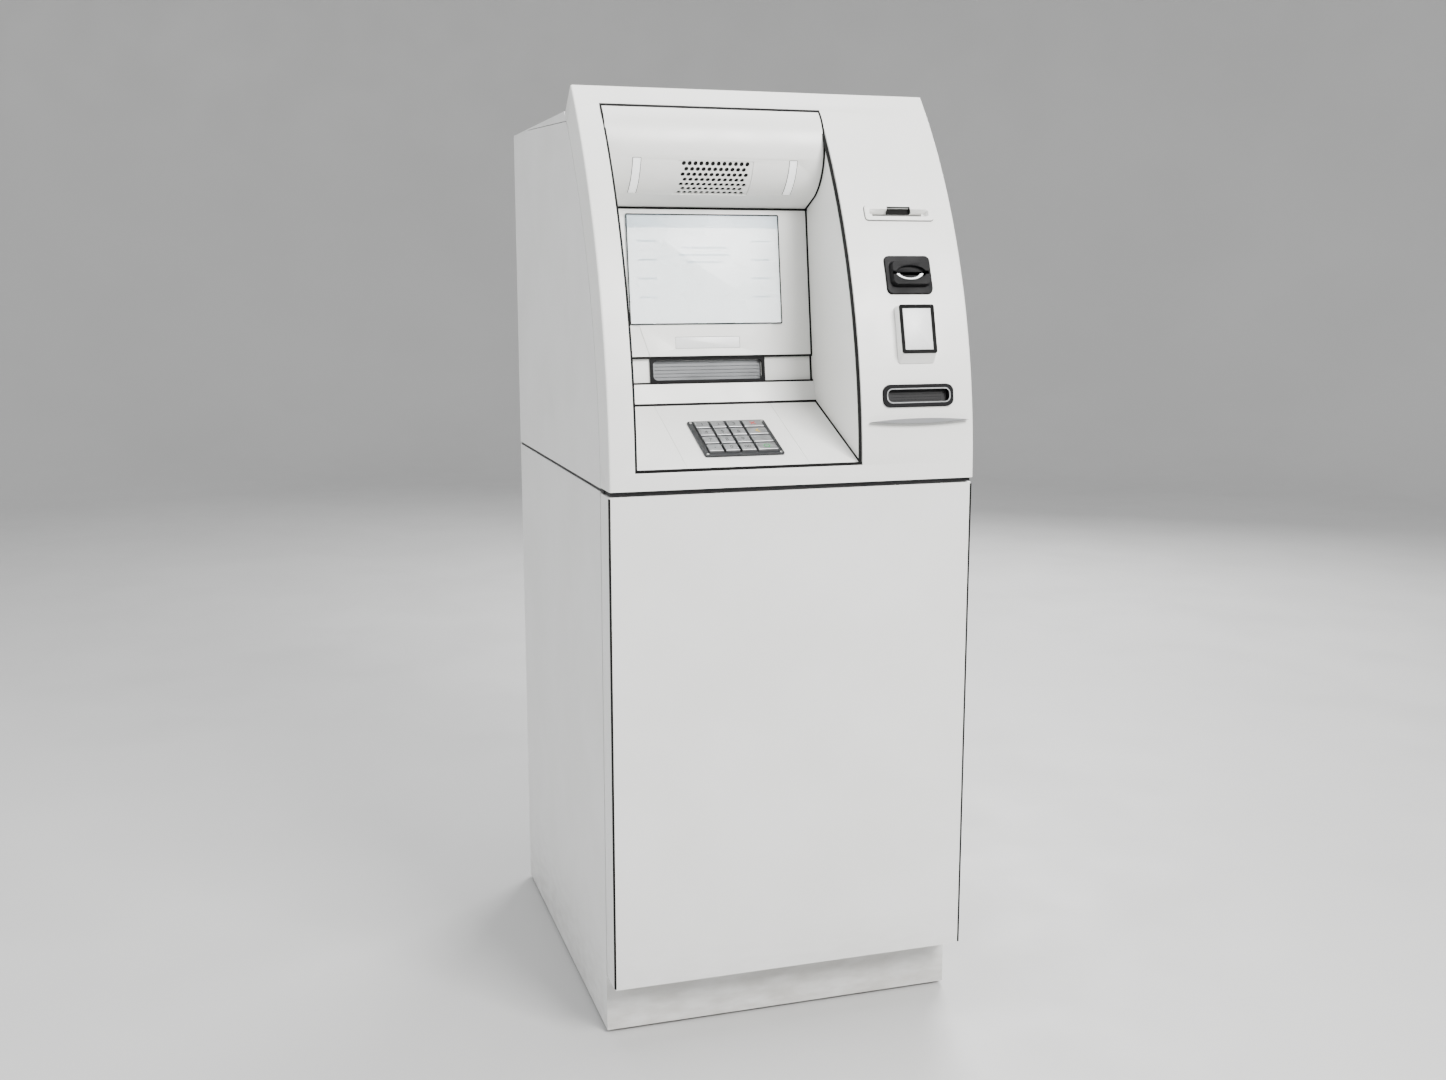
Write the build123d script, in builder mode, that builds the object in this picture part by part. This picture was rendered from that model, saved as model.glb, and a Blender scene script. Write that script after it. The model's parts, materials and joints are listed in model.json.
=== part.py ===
from build123d import *
from math import asin, atan2, cos, degrees, hypot, radians, sin
import os

# A free-standing lobby cash machine: a lower cabinet around a safe, and a head whose curved
# front lifts about a hinge along its top. Millimetres. +X is to the right of a person facing
# the machine, +Y runs from its front to its back, +Z is up. The origin is on the floor under
# the middle of the machine's box.

# Overall sizes
width = 560.0
body_depth = 648.0          # side panels, front edge to back edge
fascia_proud = 60.0         # foot of the curved front, ahead of the side panels
seam_height = 838.0         # middle of the shadow gap between cabinet and head
deck_thickness = 5.0        # the gap's height, filled by the deck plate behind it
cover_rise = 545.0          # top of the head's cover above the seam
floor_gap = 5.0             # cabinet above the floor, on its levelling feet
sheet = 2.0                 # cabinet sheet steel
moulding = 3.5              # wall of the moulded front
liner_wall = 3.0            # wall of the moulded recess and its shelf
running = 0.05              # radial clearance of a pin in its hole
seat_gap = 0.3              # gap between parts that are seated but not joined

# Curved front
arc_radius = 876.0
arc_top = 41.3              # degrees up the arc where the front ends
flange_depth = 57.0         # how deep its side walls are
head_gap = 2.5              # between the front's rear edge and the head's side panels

# Recess in the curved front
recess_left_margin = 37.0   # in from each side of the machine
recess_right_margin = 179.0
opening_low = 1.9           # degrees up the arc
opening_high = 39.0
wall_foot_depth = 208.0     # behind the front's foremost line
wall_foot_rise = 138.0      # above the seam
wall_head_depth = 246.0
wall_head_rise = 405.5
shelf_back_depth = 194.0
shelf_back_rise = 107.4
brow_depth = 245.0          # middle of the brow's round nose
brow_rise = 490.5
brow_radius = 77.5
band_height = 42.6
band_inset = 6.0

# Screen
screen_side = 49.0          # recess side to screen
screen_height = 169.0
screen_rise = 90.7          # above the foot of the recess wall
glass_thickness = 3.0
monitor_depth = 46.0

# Cash slot
cash_width = 186.0
cash_mouth_width = 176.0
cash_mouth_height = 30.0
shutter_thickness = 4.0
cash_travel = 32.0

# Keypad
pad_width = 122.0
pad_height = 108.0
pad_rise = 39.0             # up the shelf from its front edge
pad_plate = 3.0
pad_body_depth = 26.0
key_columns = [21.0, 21.0, 21.0, 30.0]
key_rows = 4
key_height = 19.5
key_gap = 4.0
row_gap = 4.5
key_travel = 3.0
key_stand = key_travel + 1.0    # cap above the pad's plate
key_lip = 1.0
key_names = [["one", "two", "three", "cancel"], ["four", "five", "six", "clear"],
             ["seven", "eight", "nine", "blank"], ["dot", "zero", "double_zero", "enter"]]

# Right-hand column of the curved front: middle, height above the seam and size of each module
column_margin = 89.0        # middle of the column, in from the machine's side
receipt_rise = 394.0
receipt_size = (110.0, 24.0)
card_rise = 303.0
card_size = (72.0, 58.0)
card_slot = (58.0, 5.0)
pad_reader_rise = 216.0
pad_reader_size = (58.0, 86.0)
pad_reader_proud = 15.0
deposit_rise = 128.0
deposit_size = (112.0, 32.0)
deposit_mouth = (98.0, 18.0)
deposit_travel = 20.0
ledge_rise = 91.0
ledge_size = (158.0, 8.0)
ledge_proud = 9.0

# Lower front door
door_proud = 54.5
door_bottom = 95.0
door_gap = 3.0
door_wall = 2.0
hinge_side = 8.0            # hinge line in from the door's edge
hinge_back = 12.0           # hinge line ahead of the door's rear face
pin_radius = 4.0

# Safe and its rear door
safe_side_space = 44.0      # machine's side to safe
safe_front_space = 91.7     # front edge of the side panels to safe
safe_rear_space = 80.3      # safe to the back of the machine
safe_top_space = 23.5       # safe to deck plate
safe_wall = 12.0
safe_leaf = 25.0
safe_leaf_gap = 2.5
base_plate = 5.0
knuckle_out = 8.0           # hinge line behind a rear door's outer face
knuckle_in = 6.5            # hinge line outside a rear door's edge
bolt_radius = 8.0
bolt_throw = 20.0
bolt_heights = (200.0, 415.0, 630.0)
anchor_spacing = (340.0, 360.0)
anchor_radius = 8.0

# Rear door of the head
rear_leaf_margin = 33.0     # machine's side to the door's edge
rear_leaf = 18.0
rear_knuckle = 5.0

ledge_angle = degrees(asin(ledge_rise / arc_radius))
ledge_reach = (ledge_proud * cos(radians(ledge_angle)) + ledge_size[1] / 2 * sin(radians(ledge_angle))
               - arc_radius * (1 - cos(radians(ledge_angle))))
depth = body_depth + fascia_proud + ledge_reach
back = depth / 2
front = back - body_depth - fascia_proud    # foremost line of the curved front
body_front = front + fascia_proud
half = width / 2
deck_low = seam_height - deck_thickness / 2
deck_high = seam_height + deck_thickness / 2
arc_y = front + arc_radius
arc_z = seam_height
recess_left = -half + recess_left_margin
recess_right = half - recess_right_margin
recess_middle = (recess_left + recess_right) / 2
screen_width = recess_right - recess_left - 2 * screen_side
column_x = half - column_margin
cover_height = seam_height + cover_rise
safe_width = width - 2 * safe_side_space
safe_front = body_front + safe_front_space
safe_back = back - safe_rear_space
safe_top = deck_low - safe_top_space
rear_leaf_width = width - 2 * rear_leaf_margin

os.makedirs("parts", exist_ok=True)


def on_arc(radius, angle):
    """Point (y, z) at a radius and an angle up the curved front."""
    return (arc_y - radius * cos(radians(angle)), arc_z + radius * sin(radians(angle)))


def angle_at(height, radius=arc_radius):
    """Angle up the curved front where it reaches a height above the floor."""
    return degrees(asin((height - arc_z) / radius))


def front_plane(x, height):
    """Plane tangent to the curved front, its y running up the front and its z outwards."""
    angle = angle_at(height)
    y, z = on_arc(arc_radius, angle)
    return Plane(origin=(x, y, z), x_dir=(1, 0, 0), z_dir=(0, -cos(radians(angle)), sin(radians(angle))))


def rising_plane(foot, head):
    """Plane through two (y, z) points, its y running from foot to head and its z to the user."""
    length = hypot(head[0] - foot[0], head[1] - foot[1])
    along = ((head[0] - foot[0]) / length, (head[1] - foot[1]) / length)
    plane = Plane(origin=(0, foot[0], foot[1]), x_dir=(1, 0, 0), z_dir=(0, -along[1], along[0]))
    return plane, length


def slab(plane, x, y, z, mode=Mode.ADD):
    """Box between pairs of values along a plane's own three directions."""
    middle = [sum(pair) / 2 for pair in (x, y, z)]
    size = [abs(pair[1] - pair[0]) for pair in (x, y, z)]
    with Locations(plane.location * Location(tuple(middle))):
        Box(*size, mode=mode)


def block(x, y, z, mode=Mode.ADD):
    """Box between pairs of x, y and z values."""
    slab(Plane.XY, x, y, z, mode)


def arc_band(inner, outer, low, high, x):
    """Outline in YZ between two radii and two angles of the curved front."""
    middle = (low + high) / 2
    with BuildSketch(Plane.YZ.offset(x)) as outline:
        with BuildLine():
            ThreePointArc(on_arc(outer, low), on_arc(outer, middle), on_arc(outer, high))
            Line(on_arc(outer, high), on_arc(inner, high))
            ThreePointArc(on_arc(inner, high), on_arc(inner, middle), on_arc(inner, low))
            Line(on_arc(inner, low), on_arc(outer, low))
        make_face()
    return outline.sketch


def side_outline(points, x):
    """Straight-sided outline in YZ at x."""
    with BuildSketch(Plane.YZ.offset(x)) as outline:
        with BuildLine():
            Polyline(*points, close=True)
        make_face()
    return outline.sketch


def rounded(plane, size, radius):
    """Rounded rectangle in the middle of a plane."""
    with BuildSketch(plane) as outline:
        RectangleRounded(size[0], size[1], radius)
    return outline.sketch


def rod(start, end, radius, mode=Mode.ADD):
    """Round bar from one point to another."""
    run = Vector(*end) - Vector(*start)
    with Locations(Plane(origin=start, z_dir=run.normalized()).location):
        Cylinder(radius, run.length, align=(Align.CENTER, Align.CENTER, Align.MIN), mode=mode)


def save(name, piece):
    piece.part.label = name
    export_step(piece.part, f"parts/{name}.step")


# Lower cabinet ------------------------------------------------------------------------------

base_low = floor_gap
base_high = base_low + base_plate
kick_top = door_bottom - 3.0
tongue_thickness = 4.0
tongue_top = door_bottom - 1.0
inner_half = half - sheet - seat_gap
door_rear = body_front - door_gap
door_front = body_front - door_proud
door_hinge = (-half + hinge_side, door_rear - hinge_back)
anchors = [(i * anchor_spacing[0] / 2, j * anchor_spacing[1] / 2 + (safe_front + safe_back) / 2)
           for i in (-1, 1) for j in (-1, 1)]
foot_places = [(i * (half - 32), y) for i in (-1, 1) for y in (body_front + 40, back - 40)]
foot_stem = 6.0
safe_half = safe_width / 2
inlet_x = -190.0
inlet_z = 36.0
inlet_size = (50.0, 28.0)
base_wall_top = 62.0

with BuildPart() as base_frame:
    block((-inner_half, inner_half), (body_front + sheet, back - sheet), (base_low, base_high))
    block((-half, half), (body_front, body_front + sheet), (base_low, kick_top))
    for side in (-1, 1):
        block((side * inner_half, side * (inner_half - 3)), (body_front + sheet, back - sheet),
              (base_high, base_wall_top))
    block((-inner_half, inner_half), (back - sheet - 3, back - sheet), (base_high, base_wall_top))
    block((inlet_x - inlet_size[0] / 2 - seat_gap, inlet_x + inlet_size[0] / 2 + seat_gap),
          (back - sheet - 4, back), (inlet_z - inlet_size[1] / 2 - seat_gap,
                                     inlet_z + inlet_size[1] / 2 + seat_gap), Mode.SUBTRACT)
    block((-half, -half + 2 * hinge_side + 4), (door_hinge[1] - hinge_side, body_front + sheet),
          (tongue_top - tongue_thickness, tongue_top))
    with Locations((door_hinge[0], door_hinge[1], tongue_top)):
        Cylinder(pin_radius + running, 4 * tongue_thickness, mode=Mode.SUBTRACT)
    with Locations(*[(x, y, base_high) for x, y in anchors]):
        Cylinder(anchor_radius, 4 * base_plate, mode=Mode.SUBTRACT)
    with Locations(*[(x, y, base_high) for x, y in foot_places]):
        Cylinder(foot_stem + 0.5, 4 * base_plate, mode=Mode.SUBTRACT)
save("base_frame", base_frame)

with BuildPart() as levelling_feet:
    for x, y in foot_places:
        with Locations((x, y, 0)):
            Cylinder(20, base_low, align=(Align.CENTER, Align.CENTER, Align.MIN))
            Cylinder(foot_stem, 46, align=(Align.CENTER, Align.CENTER, Align.MIN))
        with BuildSketch(Plane.XY.offset(base_high)):
            with Locations((x, y)):
                RegularPolygon(11, 6)
        extrude(amount=10)
save("levelling_feet", levelling_feet)


def lower_side(side):
    """Side panel of the cabinet, folded in along its front and back edges."""
    with BuildPart() as panel:
        low = base_low
        y_front = body_front + sheet + seat_gap
        block((side * half, side * (half - sheet)), (y_front, back), (low, deck_low))
        block((side * half, side * (half - 18)), (back - sheet, back), (base_wall_top + 2, deck_low))
        block((side * (half - sheet), side * (half - 18)), (y_front, y_front + sheet),
              (kick_top + 2, deck_low))
        block((side * (half - sheet), side * (half - 26)), (y_front, back), (deck_low - sheet, deck_low))
        block((side * (half - sheet), side * (safe_half + seat_gap)), (safe_back - sheet, safe_back),
              (base_wall_top + 2, deck_low))
        corners = panel.edges().filter_by(Axis.Z).sort_by(Axis.X)
        outer = [e for e in corners if abs(abs(e.center().X) - half) < 0.01]
        fillet([e for e in outer if abs(e.center().Y - back) < 0.01], 1.5)
    return panel


left_side_panel = lower_side(-1)
save("left_side_panel", left_side_panel)
right_side_panel = lower_side(1)
save("right_side_panel", right_side_panel)

chute = (recess_middle - 90, recess_middle + 90)       # note transport through the safe and deck
chute_y = (front + 236, front + 316)
deck_inset = 2.0
cable_hole_x = -half + 80.0
pin_head = 6.5
pin_head_thick = 2.0

with BuildPart() as deck_plate:
    block((-half + deck_inset, half - deck_inset), (door_front + deck_inset, back - deck_inset),
          (deck_low, deck_high))
    block((chute[0] - 4, chute[1] + 4), (chute_y[0] - 4, chute_y[1] + 4), (deck_low - 1, deck_high + 1),
          Mode.SUBTRACT)
    block((-half, -half + 24), (door_hinge[1] - 9, door_hinge[1] + 9), (deck_low, deck_high))
    with Locations((door_hinge[0], door_hinge[1], deck_low)):
        Cylinder(pin_radius + running, 4 * deck_thickness, mode=Mode.SUBTRACT)
    with Locations((door_hinge[0], door_hinge[1], deck_high)):
        Cylinder(pin_head + seat_gap, 2 * pin_head_thick, mode=Mode.SUBTRACT)
    block((-safe_half, safe_half), (safe_back - sheet, safe_back), (safe_top + seat_gap, deck_low))
    for y in (back - 250, back - 120):
        with Locations((cable_hole_x, y, deck_low)):
            Cylinder(20, 4 * deck_thickness, mode=Mode.SUBTRACT)
save("deck_plate", deck_plate)

# Lower front door: a folded pan with a bush block at each end of its hinge line.
door_top = deck_low - 1.5
door_lip = 16.0
bush = 14.0

with BuildPart() as front_door:
    block((-half, half), (door_front, door_rear), (door_bottom, door_top))
    rims = front_door.edges().filter_by(Axis.Z).group_by(Axis.Y)[0]
    fillet(rims, 3.0)
    block((-half + door_wall, half - door_wall), (door_front + door_wall, door_rear - door_wall),
          (door_bottom + door_wall, door_top - door_wall), Mode.SUBTRACT)
    block((-half + door_lip, half - door_lip), (door_rear - 2 * door_wall, door_rear + 1),
          (door_bottom + door_lip, door_top - door_lip), Mode.SUBTRACT)
    for z in (door_bottom + door_wall, door_top - door_wall - bush):
        block((-half + door_wall, door_hinge[0] + hinge_side), (door_hinge[1] - hinge_side,
              door_rear - door_wall), (z, z + bush))
    for z in (door_bottom + bush / 2, door_top - bush / 2):
        with Locations((door_hinge[0], door_hinge[1], z)):
            Cylinder(pin_radius + running, 2 * bush, mode=Mode.SUBTRACT)
save("front_door", front_door)

# Safe --------------------------------------------------------------------------------------

safe_low = base_high
leaf_half = safe_half - safe_wall - safe_leaf_gap
sill_high = base_wall_top + 5.0      # the safe's sill, which carries its door over the base
leaf_low = sill_high + 3.0
leaf_high = safe_top - safe_wall - 3.0
safe_knuckle = 7.0
safe_hinge = (-leaf_half - knuckle_in, safe_back + knuckle_out)
safe_hinge_heights = (170.0, 600.0)
hinge_half = 45.0
bolt_y = safe_back - safe_leaf + bolt_radius + 1.5

with BuildPart() as safe_body:
    block((-safe_half, safe_half), (safe_front, safe_back), (safe_low, safe_top))
    block((-safe_half + safe_wall, safe_half - safe_wall), (safe_front + safe_wall, safe_back + 1),
          (safe_low + safe_wall, safe_top - safe_wall), Mode.SUBTRACT)
    block((-safe_half, safe_half), (safe_back - safe_leaf, safe_back), (safe_low, sill_high))
    block((chute[0] - 4, chute[1] + 4), (chute_y[0] - 4, chute_y[1] + 4), (safe_top - 20, safe_top + 1),
          Mode.SUBTRACT)
    with Locations(*[(x, y, safe_low) for x, y in anchors]):
        Cylinder(anchor_radius, 3 * safe_wall, mode=Mode.SUBTRACT)
    for z in bolt_heights:
        rod((safe_half - safe_wall - 1, bolt_y, z), (safe_half + 1, bolt_y, z), bolt_radius + 1,
            Mode.SUBTRACT)
    for z in safe_hinge_heights:
        for low in (z - hinge_half, z + hinge_half / 3):
            block((safe_hinge[0] - safe_knuckle, -leaf_half - 2), (safe_back, safe_hinge[1]),
                  (low, low + hinge_half * 2 / 3))
            rod((safe_hinge[0], safe_hinge[1], low), (safe_hinge[0], safe_hinge[1], low + hinge_half * 2 / 3),
                safe_knuckle)
        rod((safe_hinge[0], safe_hinge[1], z - 2 * hinge_half), (safe_hinge[0], safe_hinge[1],
            z + 2 * hinge_half), pin_radius + running, Mode.SUBTRACT)
save("safe_body", safe_body)

spindle = (120.0, 415.0)
dial_place = (30.0, 470.0)
spindle_radius = 9.0
strap = 5.0

with BuildPart() as safe_door:
    block((-leaf_half, leaf_half), (safe_back - safe_leaf, safe_back), (leaf_low, leaf_high))
    block((60, leaf_half - 12), (safe_back - safe_leaf - 1, safe_back - 6), (150, leaf_high - 117),
          Mode.SUBTRACT)
    for z in bolt_heights:
        rod((leaf_half - 14, bolt_y, z), (leaf_half + 1, bolt_y, z), bolt_radius + running,
            Mode.SUBTRACT)
    rod((spindle[0], safe_back - safe_leaf - 1, spindle[1]), (spindle[0], safe_back + 1, spindle[1]),
        spindle_radius + running, Mode.SUBTRACT)
    rod((dial_place[0], safe_back - safe_leaf - 1, dial_place[1]),
        (dial_place[0], safe_back + 1, dial_place[1]), 6 + running, Mode.SUBTRACT)
    for z in safe_hinge_heights:
        level = (z - hinge_half / 3 + 0.5, z + hinge_half / 3 - 0.5)
        block((safe_hinge[0], -leaf_half + 90), (safe_back, safe_back + strap), level)
        rod((safe_hinge[0], safe_hinge[1], level[0]), (safe_hinge[0], safe_hinge[1], level[1]),
            safe_knuckle)
        rod((safe_hinge[0], safe_hinge[1], level[0] - 1), (safe_hinge[0], safe_hinge[1], level[1] + 1),
            pin_radius + running, Mode.SUBTRACT)
save("safe_door", safe_door)

with BuildPart() as safe_handle:
    rod((spindle[0], safe_back - safe_leaf + 4, spindle[1]), (spindle[0], safe_back + 34, spindle[1]),
        spindle_radius)
    rod((spindle[0], safe_back + seat_gap, spindle[1]), (spindle[0], safe_back + 8, spindle[1]), 22)
    rod((spindle[0], safe_back + 22, spindle[1]), (spindle[0], safe_back + 40, spindle[1]), 18)
    for turn in range(3):
        angle = radians(90 + 120 * turn)
        tip = (spindle[0] + 66 * cos(angle), safe_back + 31, spindle[1] + 66 * sin(angle))
        rod((spindle[0], safe_back + 31, spindle[1]), tip, 5)
        rod((tip[0], safe_back + 22, tip[2]), (tip[0], safe_back + 46, tip[2]), 9)
save("safe_handle", safe_handle)

with BuildPart() as combination_dial:
    rod((dial_place[0], safe_back - 8, dial_place[1]), (dial_place[0], safe_back + 4, dial_place[1]), 6)
    rod((dial_place[0], safe_back + seat_gap, dial_place[1]),
        (dial_place[0], safe_back + 7, dial_place[1]), 34)
    rod((dial_place[0], safe_back + 6, dial_place[1]), (dial_place[0], safe_back + 30, dial_place[1]), 17)
save("combination_dial", combination_dial)

# Three round bolts on one bar; drawn back they end inside the door's edge.
bar_x = leaf_half - 26 - bolt_throw

with BuildPart() as safe_bolts:
    block((bar_x - 10, bar_x + 10), (bolt_y - 5, bolt_y + 5), (bolt_heights[0] - 20, bolt_heights[-1] + 20))
    for z in bolt_heights:
        rod((bar_x, bolt_y, z), (leaf_half - 1, bolt_y, z), bolt_radius)
save("safe_bolts", safe_bolts)

# Cash handling inside the safe ---------------------------------------------------------------

cassette = (220.0, safe_back - safe_front - 126.0, 108.0)
cassette_pitch = 124.0
cassette_count = 5
cassette_y = safe_front + safe_wall + 42
cassette_low = sill_high + 5
rack_side = cassette[0] / 2 + 4
rack_x = recess_middle + 60
rack_top = cassette_low + cassette_count * cassette_pitch + 4

with BuildPart() as dispenser_frame:
    rack = (cassette_y - 34, cassette_y + cassette[1] - 10)
    for side in (-1, 1):
        block((rack_x + side * rack_side, rack_x + side * (rack_side + 3)), rack,
              (safe_low + safe_wall, rack_top))
        for level in range(cassette_count):
            rail = cassette_low + level * cassette_pitch
            block((rack_x + side * (rack_side - 14), rack_x + side * (rack_side + 1)), rack, (rail - 3, rail))
    block((rack_x - rack_side, rack_x + rack_side), rack, (safe_low + safe_wall, safe_low + safe_wall + 4))
    block((rack_x - rack_side, rack_x + rack_side), rack, (rack_top - 4, rack_top))
    block((rack_x - rack_side, rack_x + rack_side), (rack[0], cassette_y - 4),
          (safe_low + safe_wall, rack_top))
    block((chute[0] + 40, chute[1] - 40), (chute_y[0] + 10, chute_y[1] - 10), (rack_top - 5, rack_top + 1),
          Mode.SUBTRACT)
save("dispenser_frame", dispenser_frame)

with BuildPart() as cash_cassettes:
    for level in range(cassette_count):
        low = cassette_low + level * cassette_pitch
        block((rack_x - cassette[0] / 2, rack_x + cassette[0] / 2), (cassette_y, cassette_y + cassette[1]),
              (low, low + cassette[2]))
        block((rack_x - 50, rack_x + 50), (cassette_y + cassette[1] - 22, cassette_y + cassette[1] + 1),
              (low + 70, low + 96), Mode.SUBTRACT)
        block((rack_x - 50, rack_x + 50), (cassette_y + cassette[1] - 8, cassette_y + cassette[1]),
              (low + 78, low + 86))
save("cash_cassettes", cash_cassettes)

presenter_top = seam_height + 176.0

with BuildPart() as presenter:
    block(chute, chute_y, (rack_top, presenter_top))
    block((chute[0] + 6, chute[1] - 6), (chute_y[0] + 6, chute_y[1] + 1), (rack_top + 20, presenter_top - 46),
          Mode.SUBTRACT)
    block((chute[0] + 3, chute[1] - 3), (chute_y[0] - 1, chute_y[0] + 40), (presenter_top - 30,
          presenter_top - 12), Mode.SUBTRACT)
    for z in (presenter_top - 34, presenter_top - 8):
        rod((chute[0] - 6, chute_y[0] + 14, z), (chute[1] + 6, chute_y[0] + 14, z), 3)
save("presenter", presenter)

with BuildPart() as power_unit:
    unit_left = safe_half - 196
    block((unit_left, unit_left + 160), (safe_front - 62, safe_front), (150, 360))
    for level in range(7):
        z = 175 + 24 * level
        block((unit_left + 20, unit_left + 90), (safe_front - 63, safe_front - 60), (z, z + 6), Mode.SUBTRACT)
    block((unit_left + 110, unit_left + 145), (safe_front - 66, safe_front - 62), (300, 330))
save("power_unit", power_unit)

with BuildPart() as mains_inlet:
    block((inlet_x - inlet_size[0] / 2, inlet_x + inlet_size[0] / 2), (back - sheet - 26, back - sheet),
          (inlet_z - inlet_size[1] / 2, inlet_z + inlet_size[1] / 2))
    block((inlet_x - inlet_size[0] / 2 - 6, inlet_x + inlet_size[0] / 2 + 6), (back - sheet, back),
          (inlet_z - inlet_size[1] / 2 - 3, inlet_z + inlet_size[1] / 2 + 3))
    block((inlet_x - 13, inlet_x + 13), (back - sheet - 18, back + 1), (inlet_z - 9, inlet_z + 9),
          Mode.SUBTRACT)
    for x, z in ((-7, -2), (0, 3), (7, -2)):
        block((inlet_x + x - 1, inlet_x + x + 1), (back - sheet - 20, back - sheet - 4),
              (inlet_z + z - 2, inlet_z + z + 2))
save("mains_inlet", mains_inlet)

# Head --------------------------------------------------------------------------------------

lift_axis = (on_arc(arc_radius - flange_depth, arc_top)[0] + 8.3, cover_height + 6.0)
lift_knuckle = 5.5
lift_pin = 2.5
lift_places = (-205.0, 205.0)
lug_width = 14.0
cover_front = lift_axis[0] - 1.0
strut_base = (lift_axis[0] + 65.0, cover_height - 53.0)
strut_end = (lift_axis[0] - 155.0, cover_height - 183.0)
strut_x = half - 16.0
strut_pin = 4.0
panel_radius = arc_radius - flange_depth - head_gap
panel_top = cover_height - sheet
skirt_back = lift_axis[0] + 290.0    # where the cover's side skirt tapers out
skirt_low = panel_top - 13.0
skirt_front = [on_arc(panel_radius, angle_at(z, panel_radius))[0] for z in (panel_top, skirt_low)]
skirt = [(skirt_back, panel_top), (skirt_front[0], panel_top), (skirt_front[1], skirt_low)]
skirt_slope = (panel_top - skirt_low) / (skirt_back - skirt_front[1])
skirt_gap = 1.0
notch_front = skirt_front[1] - 40.0
skirt_notch = [(skirt_back + skirt_gap / skirt_slope, panel_top), (notch_front, panel_top),
               (notch_front, panel_top - skirt_gap - skirt_slope * (skirt_back - notch_front))]
jamb = rear_leaf_width / 2 + 2.0
rear_face = back - 13.0
rear_hinge = (-rear_leaf_width / 2 - knuckle_in, rear_face + knuckle_out)
rear_low = deck_high + 20.0
rear_high = panel_top - 22.0
rear_hinge_heights = (rear_low + 80, rear_high - 80)
rear_hinge_half = 30.0


def head_side(side):
    """Side of the head: its front edge follows the curved front, its rear carries the door's jamb."""
    low = on_arc(panel_radius, angle_at(deck_high, panel_radius))
    middle = on_arc(panel_radius,
                    (angle_at(deck_high, panel_radius) + angle_at(panel_top, panel_radius)) / 2)
    high = on_arc(panel_radius, angle_at(panel_top, panel_radius))
    with BuildPart() as panel:
        with BuildSketch(Plane.YZ.offset(side * half)):
            with BuildLine():
                ThreePointArc(low, middle, high)
                Polyline(high, (back, panel_top), (back, deck_high), low)
            make_face()
        extrude(amount=-side * sheet)
        extrude(side_outline(skirt_notch, side * half), amount=-side * 2 * sheet, mode=Mode.SUBTRACT)
        fold = (side * (half - sheet), side * (half - 20))
        block(fold, (low[0] + 60, back - sheet), (deck_high, deck_high + sheet))
        block(fold, (skirt_back + 30, back - sheet), (panel_top - sheet, panel_top))
        block((side * (half - sheet), side * jamb), (rear_face - 22, rear_face), (deck_high, panel_top))
        rod((side * (half - sheet), *strut_base), (side * (strut_x - 4), *strut_base), strut_pin)
        if side < 0:
            for z in rear_hinge_heights:
                for start in (z - rear_hinge_half, z + rear_hinge_half / 3):
                    stop = start + rear_hinge_half * 2 / 3
                    block((rear_hinge[0] - rear_knuckle, rear_hinge[0] + 4), (rear_face, rear_hinge[1]),
                          (start, stop))
                    rod((*rear_hinge, start), (*rear_hinge, stop), rear_knuckle)
                rod((*rear_hinge, z - 2 * rear_hinge_half), (*rear_hinge, z + 2 * rear_hinge_half),
                    lift_pin + running, Mode.SUBTRACT)
    return panel


head_left_panel = head_side(-1)
save("head_left_panel", head_left_panel)
head_right_panel = head_side(1)
save("head_right_panel", head_right_panel)

with BuildPart() as top_cover:
    block((-half, half), (cover_front, back), (panel_top, cover_height))
    for side in (-1, 1):
        extrude(side_outline(skirt, side * half), amount=-side * sheet)
    block((-jamb, jamb), (rear_face - 22, rear_face), (rear_high + 3, panel_top))
    block((-half + 24, half - 24), (cover_front + 12, cover_front + 15), (panel_top - 24, panel_top))
    for x in lift_places:
        for low in (x - lug_width * 1.5, x + lug_width / 2 + 0.5):
            block((low, low + lug_width), (lift_axis[0] - 1, lift_axis[0] + lift_knuckle),
                  (cover_height, lift_axis[1]))
            rod((low, *lift_axis), (low + lug_width, *lift_axis), lift_knuckle)
        rod((x - 3 * lug_width, *lift_axis), (x + 3 * lug_width, *lift_axis), lift_pin + running,
            Mode.SUBTRACT)
save("top_cover", top_cover)

with BuildPart() as rear_door:
    leaf = rear_leaf_width / 2
    block((-leaf, leaf), (rear_face - rear_leaf, rear_face), (rear_low, rear_high))
    block((-leaf + sheet, leaf - sheet), (rear_face - rear_leaf - 1, rear_face - sheet),
          (rear_low + sheet, rear_high - sheet), Mode.SUBTRACT)
    for level in range(8):
        z = rear_low + 60 + 14 * level
        block((-130, 130), (rear_face - 4, rear_face + 1), (z, z + 5), Mode.SUBTRACT)
    for z in rear_hinge_heights:
        level = (z - rear_hinge_half / 3 + 0.5, z + rear_hinge_half / 3 - 0.5)
        block((rear_hinge[0], -leaf + 40), (rear_face, rear_face + 4), level)
        rod((*rear_hinge, level[0]), (*rear_hinge, level[1]), rear_knuckle)
        rod((*rear_hinge, level[0] - 1), (*rear_hinge, level[1] + 1), lift_pin + running, Mode.SUBTRACT)
    lock_z = (rear_low + rear_high) / 2
    rod((leaf - 40, rear_face, lock_z), (leaf - 40, rear_face + 6, lock_z), 11)
save("rear_door", rear_door)

with BuildPart() as pc_core:
    core = ((half - 340, half - 50), (chute_y[1] + 96, back - 46), (deck_high, deck_high + 130))
    block(*core)
    for column in range(9):
        x = core[0][0] + 20 + 14 * column
        block((x, x + 6), (core[1][0] - 1, core[1][0] + 3), (deck_high + 30, deck_high + 100), Mode.SUBTRACT)
    block((core[0][1] - 80, core[0][1] - 20), (core[1][1], core[1][1] + 5),
          (deck_high + 20, deck_high + 60))
save("pc_core", pc_core)

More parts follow.
